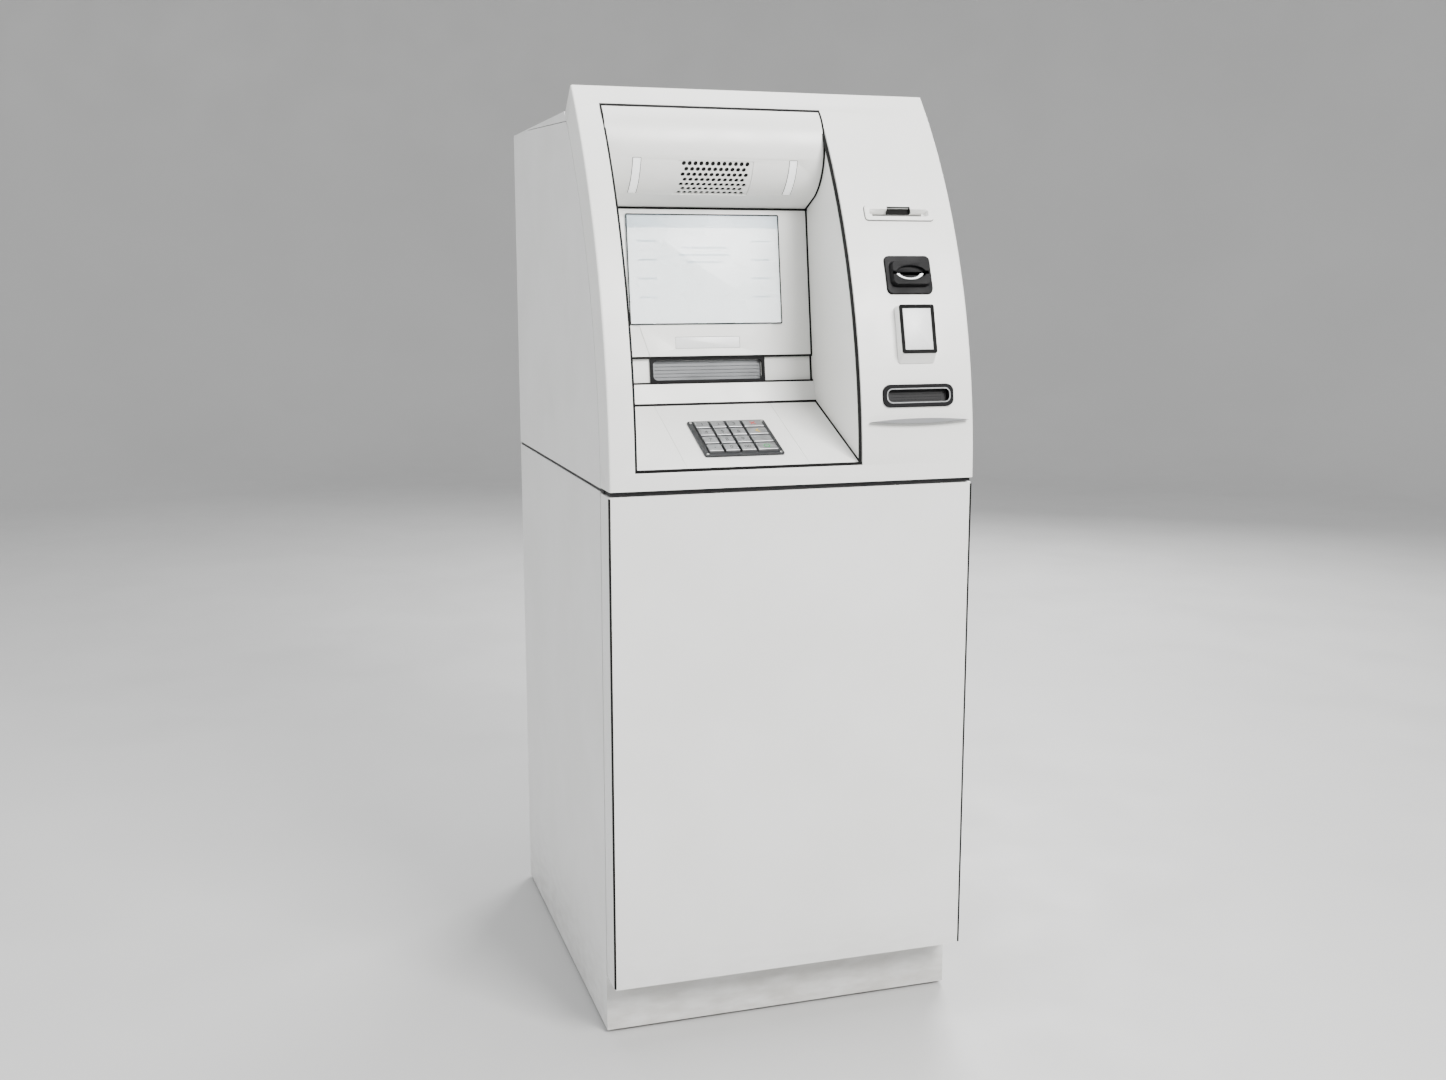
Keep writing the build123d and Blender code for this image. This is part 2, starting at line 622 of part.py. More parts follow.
with BuildPart() as hinge_pins:
    tongue_low = tongue_top - tongue_thickness
    rod((*door_hinge, tongue_low - 3), (*door_hinge, tongue_low), pin_head)
    rod((*door_hinge, tongue_low), (*door_hinge, door_bottom + bush - 1), pin_radius)
    rod((*door_hinge, deck_high - pin_head_thick), (*door_hinge, deck_high), pin_head)
    rod((*door_hinge, door_top - bush + 1), (*door_hinge, deck_high), pin_radius)
    for z in safe_hinge_heights:
        rod((*safe_hinge, z + hinge_half), (*safe_hinge, z + hinge_half + 3), safe_knuckle - 1)
        rod((*safe_hinge, z - hinge_half), (*safe_hinge, z + hinge_half), pin_radius)
    for z in rear_hinge_heights:
        rod((*rear_hinge, z + rear_hinge_half), (*rear_hinge, z + rear_hinge_half + 2), rear_knuckle - 1)
        rod((*rear_hinge, z - rear_hinge_half), (*rear_hinge, z + rear_hinge_half), lift_pin)
    for x in lift_places:
        rod((x - lug_width * 1.5 - 2, *lift_axis), (x - lug_width * 1.5, *lift_axis), lift_knuckle - 1)
        rod((x - lug_width * 1.5, *lift_axis), (x + lug_width * 1.5, *lift_axis), lift_pin)
save("hinge_pins", hinge_pins)

# Curved front ------------------------------------------------------------------------------

low_end = angle_at(deck_high + 1.5)
end_wall = degrees(4.0 / arc_radius)


def window(plane, size, radius):
    """Cut a rounded window right through the wall of the curved front."""
    extrude(rounded(plane.offset(-4 * moulding), size, radius), amount=8 * moulding, mode=Mode.SUBTRACT)


receipt_plane = front_plane(column_x, seam_height + receipt_rise)
card_plane = front_plane(column_x, seam_height + card_rise)
reader_plane = front_plane(column_x, seam_height + pad_reader_rise)
deposit_plane = front_plane(column_x, seam_height + deposit_rise)
ledge_plane = front_plane(column_x, seam_height + ledge_rise)
plug = 5.0                  # how much smaller a module's body is than its visible flange

with BuildPart() as fascia_shell:
    extrude(arc_band(arc_radius - flange_depth, arc_radius, low_end, arc_top, -half), amount=width)
    rims = [e for e in fascia_shell.edges().filter_by(GeomType.CIRCLE) if abs(e.radius - arc_radius) < 0.1]
    fillet(rims, 3.0)
    extrude(arc_band(arc_radius - flange_depth - 1, arc_radius - moulding, low_end + end_wall,
                     arc_top - end_wall, -half + moulding), amount=width - 2 * moulding, mode=Mode.SUBTRACT)
    extrude(arc_band(arc_radius - 20, arc_radius + 1, opening_low, opening_high, recess_left),
            amount=recess_right - recess_left, mode=Mode.SUBTRACT)
    window(receipt_plane, (receipt_size[0] - plug, receipt_size[1] - plug), 3)
    window(card_plane, (card_size[0] - plug, card_size[1] - plug), 4)
    window(reader_plane, (pad_reader_size[0] - plug, pad_reader_size[1] - plug), 4)
    window(deposit_plane, (deposit_size[0] - plug, deposit_size[1] - plug), 8)
    face_foot = on_arc(arc_radius - flange_depth + 12, arc_top)
    face_head = on_arc(arc_radius - flange_depth + 30, arc_top)
    for x in lift_places:
        lug = [(lift_axis[0], lift_axis[1] - lift_knuckle), (lift_axis[0], lift_axis[1] + lift_knuckle),
               face_head, face_foot]
        extrude(side_outline(lug, x - lug_width / 2 + 0.5), amount=lug_width - 1)
        rod((x - lug_width / 2 + 0.5, *lift_axis), (x + lug_width / 2 - 0.5, *lift_axis), lift_knuckle)
        rod((x - lug_width, *lift_axis), (x + lug_width, *lift_axis), lift_pin + running, Mode.SUBTRACT)
    for side in (-1, 1):
        rod((side * (half - moulding), *strut_end), (side * (strut_x + 4), *strut_end), strut_pin)
save("fascia_shell", fascia_shell)

wall_foot = (front + wall_foot_depth, seam_height + wall_foot_rise)
wall_head = (front + wall_head_depth, seam_height + wall_head_rise)
wall, wall_length = rising_plane(wall_foot, wall_head)
shelf_front = on_arc(arc_radius, opening_low)
shelf_back = (front + shelf_back_depth, seam_height + shelf_back_rise)
shelf, shelf_length = rising_plane(shelf_front, shelf_back)
cash_slot_low = (band_height - cash_mouth_height) / 2
screen_x = (recess_middle - screen_width / 2, recess_middle + screen_width / 2)
screen_s = (screen_rise, screen_rise + screen_height)
brow_middle = (front + brow_depth, seam_height + brow_rise)
liner_front = arc_radius - moulding - seat_gap
guide_x = cash_mouth_width / 2 + 10
shutter_high = cash_slot_low + cash_mouth_height + 5
window_border = 9.0

with BuildPart() as recess_liner:
    top_edge = on_arc(liner_front, opening_high)
    low_edge = on_arc(liner_front, opening_low)
    for x in (recess_left - liner_wall, recess_right):
        with BuildSketch(Plane.YZ.offset(x)):
            with BuildLine():
                ThreePointArc(low_edge, on_arc(liner_front, (opening_low + opening_high) / 2), top_edge)
                Polyline(top_edge, (wall_head[0] + 4, wall_head[1] + 60), (wall_head[0] + 4, wall_head[1]),
                         (wall_foot[0] + 12, wall_foot[1]), (shelf_back[0] + 6, shelf_back[1] - 3), low_edge)
            make_face()
        extrude(amount=liner_wall)
    sides = (recess_left - liner_wall / 2, recess_right + liner_wall / 2)
    slab(wall, sides, (band_height, wall_length), (-liner_wall, 0))
    slab(wall, sides, (band_height, band_height + liner_wall), (-band_inset - liner_wall, 0))
    slab(wall, sides, (0, band_height + liner_wall), (-band_inset - liner_wall, -band_inset))
    slab(wall, sides, (-liner_wall, 0), (-band_inset - liner_wall, 0))
    riser = [wall_foot, shelf_back, (shelf_back[0] + liner_wall, shelf_back[1]),
             (wall_foot[0] + liner_wall, wall_foot[1] - liner_wall / 4)]
    extrude(side_outline(riser, sides[0]), amount=sides[1] - sides[0])
    slab(wall, (screen_x[0] + window_border, screen_x[1] - window_border),
         (screen_s[0] + window_border, screen_s[1] - window_border), (-20, 20), Mode.SUBTRACT)
    slab(wall, (recess_middle - cash_mouth_width / 2, recess_middle + cash_mouth_width / 2),
         (cash_slot_low, cash_slot_low + cash_mouth_height), (-20, 20), Mode.SUBTRACT)
    with BuildSketch(wall):
        with BuildLine():
            Polyline((recess_middle - 108, screen_rise - seat_gap),
                     (recess_middle + 108, screen_rise - seat_gap),
                     (recess_middle + cash_width / 2, band_height),
                     (recess_middle - cash_width / 2, band_height), close=True)
        make_face()
    extrude(amount=1.5)
    slab(wall, (recess_middle - 52, recess_middle + 52), (54, 72), (0.7, 4), Mode.SUBTRACT)
    for side in (-1, 1):
        x = recess_middle + side * (guide_x + seat_gap)
        slab(wall, (x, x + side * 4), (-liner_wall, shutter_high + cash_travel + 2),
             (-band_inset - liner_wall - shutter_thickness - 2, -band_inset - liner_wall))
    slab(wall, (recess_middle - guide_x - 4, recess_middle + guide_x + 4), (-liner_wall, 0),
         (-band_inset - liner_wall - shutter_thickness - 2, -band_inset - liner_wall))
save("recess_liner", recess_liner)


def on_brow(radius, angle):
    """Point (y, z) round the nose of the brow."""
    return (brow_middle[0] + radius * cos(radians(angle)), brow_middle[1] + radius * sin(radians(angle)))


opening_edge = on_arc(arc_radius, opening_high)
brow_start = degrees(atan2(opening_edge[1] - brow_middle[1], opening_edge[0] - brow_middle[0])) + 1.0
brow_end = 241.7
brow_inner = brow_radius - liner_wall
grille_span = (195.0, brow_end - 1.1)
grille_width = 118.0
lamp_span = (193.0, 238.0)
lamp_width = 12.0
lamp_offset = (recess_right - recess_left) / 2 - 50.0


def brow_slice(inner, outer, low, high, x):
    """Outline in YZ of a stretch of the brow's round nose."""
    middle = (low + high) / 2
    with BuildSketch(Plane.YZ.offset(x)) as outline:
        with BuildLine():
            ThreePointArc(on_brow(outer, low), on_brow(outer, middle), on_brow(outer, high))
            Line(on_brow(outer, high), on_brow(inner, high))
            ThreePointArc(on_brow(inner, high), on_brow(inner, middle), on_brow(inner, low))
            Line(on_brow(inner, low), on_brow(outer, low))
        make_face()
    return outline.sketch


lamps = [recess_middle + side * lamp_offset for side in (-1, 1)]

with BuildPart() as brow_panel:
    brow_x = (recess_left + seat_gap, recess_right - seat_gap)
    extrude(brow_slice(brow_inner, brow_radius, brow_start, brow_end, brow_x[0]),
            amount=brow_x[1] - brow_x[0])
    tail_head = (wall_head[0], wall_head[1] + seat_gap)
    tail = [on_brow(brow_radius, brow_end), tail_head, (tail_head[0] + 1, tail_head[1] + liner_wall),
            on_brow(brow_inner, brow_end)]
    extrude(side_outline(tail, brow_x[0]), amount=brow_x[1] - brow_x[0])
    extrude(brow_slice(brow_inner - 1, brow_radius + 1, *grille_span, recess_middle - grille_width / 2),
            amount=grille_width, mode=Mode.SUBTRACT)
    for x in lamps:
        extrude(brow_slice(brow_inner - 1, brow_radius + 1, *lamp_span, x - lamp_width / 2),
                amount=lamp_width, mode=Mode.SUBTRACT)
save("brow_panel", brow_panel)

fit_angle = degrees(seat_gap / brow_radius)
hole_pitch = 9.0
hole_radius = 3.4
grille_rows = 7

with BuildPart() as speaker_grille:
    extrude(brow_slice(brow_inner, brow_radius - 1, grille_span[0] + fit_angle, grille_span[1] - fit_angle,
                       recess_middle - grille_width / 2 + seat_gap), amount=grille_width - 2 * seat_gap)
    row_step = (grille_span[1] - grille_span[0]) / grille_rows
    for row in range(grille_rows):
        angle = grille_span[0] + row_step * (row + 0.5)
        holes = 12 - row % 2
        for number in range(holes):
            x = recess_middle + (number - (holes - 1) / 2) * hole_pitch
            rod((x, *on_brow(brow_inner - 6, angle)), (x, *on_brow(brow_radius + 6, angle)), hole_radius,
                Mode.SUBTRACT)
save("speaker_grille", speaker_grille)

with BuildPart() as brow_lamps:
    for x in lamps:
        extrude(brow_slice(brow_inner - 2, brow_radius + 0.5, lamp_span[0] + fit_angle,
                           lamp_span[1] - fit_angle, x - lamp_width / 2 + seat_gap),
                amount=lamp_width - 2 * seat_gap)
save("brow_lamps", brow_lamps)

with BuildPart() as screen_glass:
    slab(wall, screen_x, screen_s, (0, glass_thickness))
    fillet(screen_glass.faces().sort_by(Axis((0, 0, 0), wall.z_dir))[-1].edges(), 0.8)
save("screen_glass", screen_glass)

with BuildPart() as monitor:
    slab(wall, (screen_x[0] - 6, screen_x[1] + 6), (screen_s[0] - 4, wall_length - 4),
         (-liner_wall - seat_gap - monitor_depth, -liner_wall - seat_gap))
    slab(wall, (screen_x[0] + 30, screen_x[1] - 30), (screen_s[0] + 30, screen_s[1] - 30),
         (-liner_wall - monitor_depth - 12, -liner_wall - monitor_depth))
save("monitor", monitor)

with BuildPart() as cash_bezel:
    cash_plane = Plane(origin=wall.from_local_coords((recess_middle, band_height / 2, -band_inset)),
                       x_dir=wall.x_dir, z_dir=wall.z_dir)
    extrude(rounded(cash_plane, (cash_width, band_height - 2 * seat_gap), 2), amount=4)
    extrude(rounded(cash_plane, (cash_mouth_width, cash_mouth_height), 7), amount=5, mode=Mode.SUBTRACT)
save("cash_bezel", cash_bezel)

with BuildPart() as cash_shutter:
    face = -band_inset - liner_wall - seat_gap
    slab(wall, (recess_middle - guide_x, recess_middle + guide_x), (seat_gap, shutter_high),
         (face - shutter_thickness, face))
    for groove in range(5):
        s = cash_slot_low + 3.2 + groove * 5.4
        slab(wall, (recess_middle - cash_mouth_width / 2 + 4, recess_middle + cash_mouth_width / 2 - 4),
             (s, s + 2.0), (face - 1.5, face + 1), Mode.SUBTRACT)
save("cash_shutter", cash_shutter)

# Shelf and keypad --------------------------------------------------------------------------

pad_middle = Plane(origin=shelf.from_local_coords((recess_middle + 3, pad_rise + pad_height / 2, 0)),
                   x_dir=shelf.x_dir, z_dir=shelf.z_dir)
pad_hole = (pad_width - 2 * 4.0, pad_height - 2 * 4.0)
crease_half = 93.0

with BuildPart() as keypad_shelf:
    slab(shelf, (recess_left + seat_gap, recess_right - seat_gap), (6, shelf_length - seat_gap),
         (-liner_wall, 0))
    slab(shelf, (recess_left + seat_gap, recess_right - seat_gap), (4, 8), (-24, 0))
    extrude(rounded(pad_middle.offset(-10), pad_hole, 3), amount=20, mode=Mode.SUBTRACT)
    for side in (-1, 1):
        x = recess_middle + side * crease_half
        slab(shelf, (x - 0.6, x + 0.6), (10, shelf_length), (-0.8, 1), Mode.SUBTRACT)
save("keypad_shelf", keypad_shelf)

key_total = sum(key_columns) + key_gap * (len(key_columns) - 1)
row_total = key_rows * key_height + row_gap * (key_rows - 1)
keys = []
for row in range(key_rows):
    across = -key_total / 2
    up = row_total / 2 - key_height / 2 - row * (key_height + row_gap)
    for column, key_width in enumerate(key_columns):
        keys.append((key_names[row][column], across + key_width / 2, up, key_width))
        across += key_width + key_gap
key_play = 0.3

with BuildPart() as keypad_frame:
    extrude(rounded(pad_middle, (pad_width, pad_height), 4), amount=pad_plate)
    extrude(rounded(pad_middle, (pad_hole[0] - 2 * seat_gap, pad_hole[1] - 2 * seat_gap), 3),
            amount=-pad_body_depth)
    slab(pad_middle, (-pad_hole[0] / 2 + 2.5, pad_hole[0] / 2 - 2.5),
         (-pad_hole[1] / 2 + 2.5, pad_hole[1] / 2 - 2.5), (-pad_body_depth + 3, 0.5), Mode.SUBTRACT)
    for name, x, s, key_width in keys:
        slab(pad_middle, (x - key_width / 2 - key_play, x + key_width / 2 + key_play),
             (s - key_height / 2 - key_play, s + key_height / 2 + key_play), (-1, pad_plate + 1),
             Mode.SUBTRACT)
save("keypad_frame", keypad_frame)


def key(name, x, s, key_width):
    """Key cap with a lip that stops it under the pad's plate."""
    with BuildPart() as cap:
        slab(pad_middle, (x - key_width / 2, x + key_width / 2), (s - key_height / 2, s + key_height / 2),
             (-3, pad_plate + key_stand))
        top = cap.faces().sort_by(Axis((0, 0, 0), pad_middle.z_dir))[-1]
        fillet(top.edges(), 1.2)
        slab(pad_middle, (x - key_width / 2 - key_lip, x + key_width / 2 + key_lip),
             (s - key_height / 2 - key_lip, s + key_height / 2 + key_lip), (-4.5, 0.5 - 0.2))
    return cap


for entry in keys:
    save("key_" + entry[0], key(*entry))

# Modules of the right-hand column ------------------------------------------------------------

with BuildPart() as receipt_bezel:
    extrude(rounded(receipt_plane, receipt_size, 5), amount=3)
    extrude(rounded(receipt_plane, (receipt_size[0] - plug - 1, receipt_size[1] - plug - 1), 3), amount=-12)
    with BuildSketch(receipt_plane.offset(3)):
        RectangleRounded(receipt_size[0] - 14, receipt_size[1] - 12, 3)
    extrude(amount=-9, taper=20, mode=Mode.SUBTRACT)
    slab(receipt_plane, (-40, 40), (-2.5, 2.5), (-20, 5), Mode.SUBTRACT)
    slab(receipt_plane, (-19, 19), (0, 10), (-4, 5), Mode.SUBTRACT)
save("receipt_bezel", receipt_bezel)

printer_size = (104.0, 62.0, 96.0)
roll_radius = 30.0
roll_place = (printer_size[1] / 2 + roll_radius - 14, -12.0 - seat_gap - 62.0)
roll_half = 38.0

with BuildPart() as receipt_printer:
    slab(receipt_plane, (-printer_size[0] / 2, printer_size[0] / 2), (-printer_size[1] / 2, 18),
         (-12 - seat_gap - printer_size[2], -12 - seat_gap))
    for side in (-1, 1):
        slab(receipt_plane, (side * (roll_half + 2), side * (roll_half + 5)), (10, roll_place[0] + 14),
             (roll_place[1] - 20, roll_place[1] + 20))
    roll_end = receipt_plane.from_local_coords((-roll_half - 1.5, *roll_place))
    with BuildSketch(Plane(origin=roll_end, x_dir=receipt_plane.y_dir, z_dir=receipt_plane.x_dir)):
        Circle(roll_radius + 2)
    extrude(amount=2 * roll_half + 3, mode=Mode.SUBTRACT)
    slab(receipt_plane, (-42, 42), (-2.5, 2.5), (-14 - seat_gap - 30, 0), Mode.SUBTRACT)
    rod(tuple(receipt_plane.from_local_coords((-roll_half - 6, *roll_place))),
        tuple(receipt_plane.from_local_coords((roll_half + 6, *roll_place))), 6)
save("receipt_printer", receipt_printer)

with BuildPart() as receipt_roll:
    ends = [tuple(receipt_plane.from_local_coords((x, *roll_place))) for x in (-roll_half, roll_half)]
    rod(*ends, roll_radius)
    ends = [tuple(receipt_plane.from_local_coords((x, *roll_place))) for x in (-roll_half - 1, roll_half + 1)]
    rod(*ends, 6 + running, Mode.SUBTRACT)
save("receipt_roll", receipt_roll)

with BuildPart() as card_bezel:
    extrude(rounded(card_plane, card_size, 8), amount=4)
    extrude(rounded(card_plane, (card_size[0] - 8, card_size[1] - 16), 10), amount=13, taper=14)
    extrude(rounded(card_plane, (card_size[0] - plug - 1, card_size[1] - plug - 1), 4), amount=-8)
    slab(card_plane, (-card_slot[0] / 2, card_slot[0] / 2), (-card_slot[1] / 2, card_slot[1] / 2), (-20, 20),
         Mode.SUBTRACT)
    with BuildSketch(card_plane.offset(14)):
        Ellipse(24, 11)
    extrude(amount=-7, mode=Mode.SUBTRACT)
save("card_bezel", card_bezel)

with BuildPart() as card_reader:
    slab(card_plane, (-43, 43), (-24, 26), (-8 - seat_gap - 150, -8 - seat_gap))
    slab(card_plane, (-card_slot[0] / 2, card_slot[0] / 2), (-card_slot[1] / 2, card_slot[1] / 2),
         (-8 - seat_gap - 96, 0), Mode.SUBTRACT)
    slab(card_plane, (-30, 30), (-30, -24), (-110, -40))
save("card_reader", card_reader)

with BuildPart() as contactless_pad:
    w, h = pad_reader_size
    extrude(rounded(reader_plane, (w - plug - 1, h - plug - 1), 3), amount=-14)
    with BuildSketch(reader_plane):
        RectangleRounded(w, h, 4)
    with BuildSketch(reader_plane.offset(pad_reader_proud)):
        with Locations((0, 6)):
            RectangleRounded(w - 3, h - 14, 4)
    loft()
    pad_face = Plane(origin=reader_plane.from_local_coords((0, 6, pad_reader_proud)),
                     x_dir=reader_plane.x_dir, z_dir=reader_plane.z_dir)
    extrude(rounded(pad_face, (w - 13, h - 24), 2), amount=-1.2, mode=Mode.SUBTRACT)
save("contactless_pad", contactless_pad)

with BuildPart() as deposit_bezel:
    extrude(rounded(deposit_plane, deposit_size, 10), amount=3.5)
    extrude(rounded(deposit_plane, (deposit_size[0] - plug - 1, deposit_size[1] - plug - 1), 8), amount=-6)
    extrude(rounded(deposit_plane.offset(-20), deposit_mouth, 6), amount=30, mode=Mode.SUBTRACT)
    for side in (-1, 1):
        x = side * (deposit_mouth[0] / 2 + 4 + seat_gap)
        slab(deposit_plane, (x, x - side * 1), (-deposit_size[1] / 2 + 4, deposit_size[1] / 2 - 4), (-6, -5))
        slab(deposit_plane, (x, x + side * 3),
             (-deposit_mouth[1] / 2 - 4, deposit_mouth[1] / 2 + 4 + deposit_travel),
             (-10, -5))
save("deposit_bezel", deposit_bezel)

with BuildPart() as deposit_shutter:
    slab(deposit_plane, (-deposit_mouth[0] / 2 - 4, deposit_mouth[0] / 2 + 4),
         (-deposit_mouth[1] / 2 - 3, deposit_mouth[1] / 2 + 3), (-9 - seat_gap, -6 - seat_gap))
    for rib in range(4):
        s = -6 + 4 * rib
        slab(deposit_plane, (-40, 40), (s - 0.6, s + 0.6), (-7 - seat_gap, -5), Mode.SUBTRACT)
save("deposit_shutter", deposit_shutter)

with BuildPart() as ledge_strip:
    bulge = ledge_size[1] / 2
    with BuildSketch(ledge_plane):
        with BuildLine():
            tips = ((-ledge_size[0] / 2, 0), (ledge_size[0] / 2, 0))
            ThreePointArc(tips[0], (0, bulge), tips[1])
            ThreePointArc(tips[1], (0, -bulge), tips[0])
        make_face()
    extrude(amount=ledge_proud)
save("ledge_strip", ledge_strip)

# Gas struts that hold the lifted front -------------------------------------------------------

reach = hypot(strut_end[0] - strut_base[0], strut_end[1] - strut_base[1])
strut_line = ((strut_end[0] - strut_base[0]) / reach, (strut_end[1] - strut_base[1]) / reach)
tube_start = 14.0
tube_length = 150.0
tube_radius = 8.0
rod_radius = 4.0


def along_strut(side, distance):
    """Point on a strut's line at a distance from its fixed pin."""
    y, z = (foot + run * distance for foot, run in zip(strut_base, strut_line))
    return (side * strut_x, y, z)


with BuildPart() as gas_strut_tubes:
    for side in (-1, 1):
        rod(along_strut(side, tube_start - 8), along_strut(side, tube_start + tube_length), tube_radius)
        rod(along_strut(side, tube_start + 10), along_strut(side, tube_start + tube_length + 1),
            rod_radius + running, Mode.SUBTRACT)
        rod((side * (strut_x - 3.5), *strut_base), (side * (strut_x + 3.5), *strut_base), 8)
        rod((side * (strut_x - 20), *strut_base), (side * (strut_x + 20), *strut_base), strut_pin + running,
            Mode.SUBTRACT)
save("gas_strut_tubes", gas_strut_tubes)

with BuildPart() as gas_strut_rods:
    for side in (-1, 1):
        rod(along_strut(side, tube_start + 30), along_strut(side, reach), rod_radius)
        rod((side * (strut_x - 3.5), *strut_end), (side * (strut_x + 3.5), *strut_end), 7)
save("gas_strut_rods", gas_strut_rods)
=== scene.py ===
import json
from math import asin, cos, pi, radians, sin

import bmesh
import bpy
import numpy as np
from mathutils import Matrix, Vector


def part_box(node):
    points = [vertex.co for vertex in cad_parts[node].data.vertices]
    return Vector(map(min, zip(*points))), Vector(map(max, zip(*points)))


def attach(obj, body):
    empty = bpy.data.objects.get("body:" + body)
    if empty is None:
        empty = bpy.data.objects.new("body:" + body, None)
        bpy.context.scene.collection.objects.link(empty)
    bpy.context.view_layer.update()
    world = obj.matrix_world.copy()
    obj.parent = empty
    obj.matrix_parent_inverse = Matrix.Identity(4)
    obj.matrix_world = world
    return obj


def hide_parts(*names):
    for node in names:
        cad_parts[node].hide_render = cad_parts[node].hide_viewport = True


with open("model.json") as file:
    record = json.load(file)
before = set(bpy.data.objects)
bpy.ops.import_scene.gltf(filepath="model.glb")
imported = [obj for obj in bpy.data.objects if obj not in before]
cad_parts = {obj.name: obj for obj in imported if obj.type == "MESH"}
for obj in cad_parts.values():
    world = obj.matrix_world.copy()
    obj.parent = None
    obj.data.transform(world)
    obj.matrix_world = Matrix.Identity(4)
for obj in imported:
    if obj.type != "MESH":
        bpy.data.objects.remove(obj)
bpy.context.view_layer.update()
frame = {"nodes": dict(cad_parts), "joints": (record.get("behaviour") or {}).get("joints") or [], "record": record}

nodes = frame["nodes"]
bodyOf = {node: body for body, members in frame["record"]["behaviour"]["bodies"].items() for node in members}
slotOf = {part["node"]: part["material_slot"] for part in frame["record"]["subparts"]}
across = Vector((1, 0, 0))
upright = Vector((0, 0, 1))


def jointAxis(name):
    return Vector(next(joint["axis"] for joint in frame["joints"] if joint["name"] == name)).normalized()


wallUp = jointAxis("cash_shutter_lift")                 # up the recess wall
shelfUp = across.cross(jointAxis("press_five"))         # from the user up the keypad shelf
shelfUp = shelfUp if shelfUp.y > 0 else -shelfUp

# the curved front's arc, whose angles bound the recess, and the height of each fitting on it
front = {"radius": 0.876, "seam": 0.838, "wall": 0.0035, "low": 1.9, "high": 39.0}
frontMiddle = (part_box("fascia_shell")[0].y + front["radius"], front["seam"])
heights = {"receipt": 1.232, "card": 1.141, "reader": 1.054, "deposit": 0.966}


def facing(height):
    # the way up the curved front at a height
    lean = asin((height - front["seam"]) / front["radius"])
    return Vector((0, sin(lean), cos(lean)))


def onFront(height):
    # distance along and out, in a fitting's own directions, of the curved surface at a height
    up = facing(height)
    out = across.cross(up)
    point = Vector((0, frontMiddle[0], frontMiddle[1])) + out * front["radius"]
    return point.dot(up), point.dot(out)


def turned(up):
    # local x, y, z become across, up the face, and out of it
    return Matrix((across, up, across.cross(up))).transposed()


def spans(name, up):
    # lowest and highest value of a node along a face's own three directions
    mesh = nodes[name].data
    points = np.empty(len(mesh.vertices) * 3, np.float32)
    mesh.vertices.foreach_get("co", points)
    local = points.reshape(-1, 3) @ np.array(turned(up))
    return [(float(low), float(high)) for low, high in zip(local.min(0), local.max(0))]


finishes = {}


def ramped(tree, source, low, high):
    # stretches a pattern's middle values over a range
    spread = tree.nodes.new("ShaderNodeMapRange")
    spread.inputs["From Min"].default_value = 0.35
    spread.inputs["From Max"].default_value = 0.65
    spread.inputs["To Min"].default_value = low
    spread.inputs["To Max"].default_value = high
    tree.links.new(source, spread.inputs["Value"])
    return spread.outputs["Result"]


def patterned(tree, place, scale, stretch=(1, 1, 1), detail=3, kind="ShaderNodeTexNoise"):
    turn = tree.nodes.new("ShaderNodeMapping")
    turn.inputs["Scale"].default_value = stretch
    tree.links.new(place, turn.inputs["Vector"])
    pattern = tree.nodes.new(kind)
    pattern.inputs["Scale"].default_value = scale
    tree.links.new(turn.outputs["Vector"], pattern.inputs["Vector"])
    if kind == "ShaderNodeTexNoise":
        pattern.inputs["Detail"].default_value = detail
        return pattern.outputs["Fac"]
    return pattern.outputs["Distance"]


dustSizes = {"height": 0.16, "scale": 22, "colour": (0.30, 0.28, 0.25)}


def dusted(tree, place, painted, dust):
    # scuffs and dust that gather towards the floor
    apart = tree.nodes.new("ShaderNodeSeparateXYZ")
    tree.links.new(place, apart.inputs["Vector"])
    height = tree.nodes.new("ShaderNodeMapRange")
    height.inputs["From Min"].default_value = 0.0
    height.inputs["From Max"].default_value = dustSizes["height"]
    height.inputs["To Min"].default_value = dust
    height.inputs["To Max"].default_value = 0.0
    tree.links.new(apart.outputs["Z"], height.inputs["Value"])
    marks = ramped(tree, patterned(tree, place, dustSizes["scale"], (1, 1, 3), 6), 0.2, 1.0)
    share = tree.nodes.new("ShaderNodeMath")
    share.operation = "MULTIPLY"
    tree.links.new(height.outputs["Result"], share.inputs[0])
    tree.links.new(marks, share.inputs[1])
    dusty = tree.nodes.new("ShaderNodeMix")
    dusty.data_type = "RGBA"
    dusty.inputs["B"].default_value = (*dustSizes["colour"], 1)
    tree.links.new(share.outputs["Value"], dusty.inputs["Factor"])
    tree.links.new(painted, dusty.inputs["A"])
    return dusty.outputs["Result"]


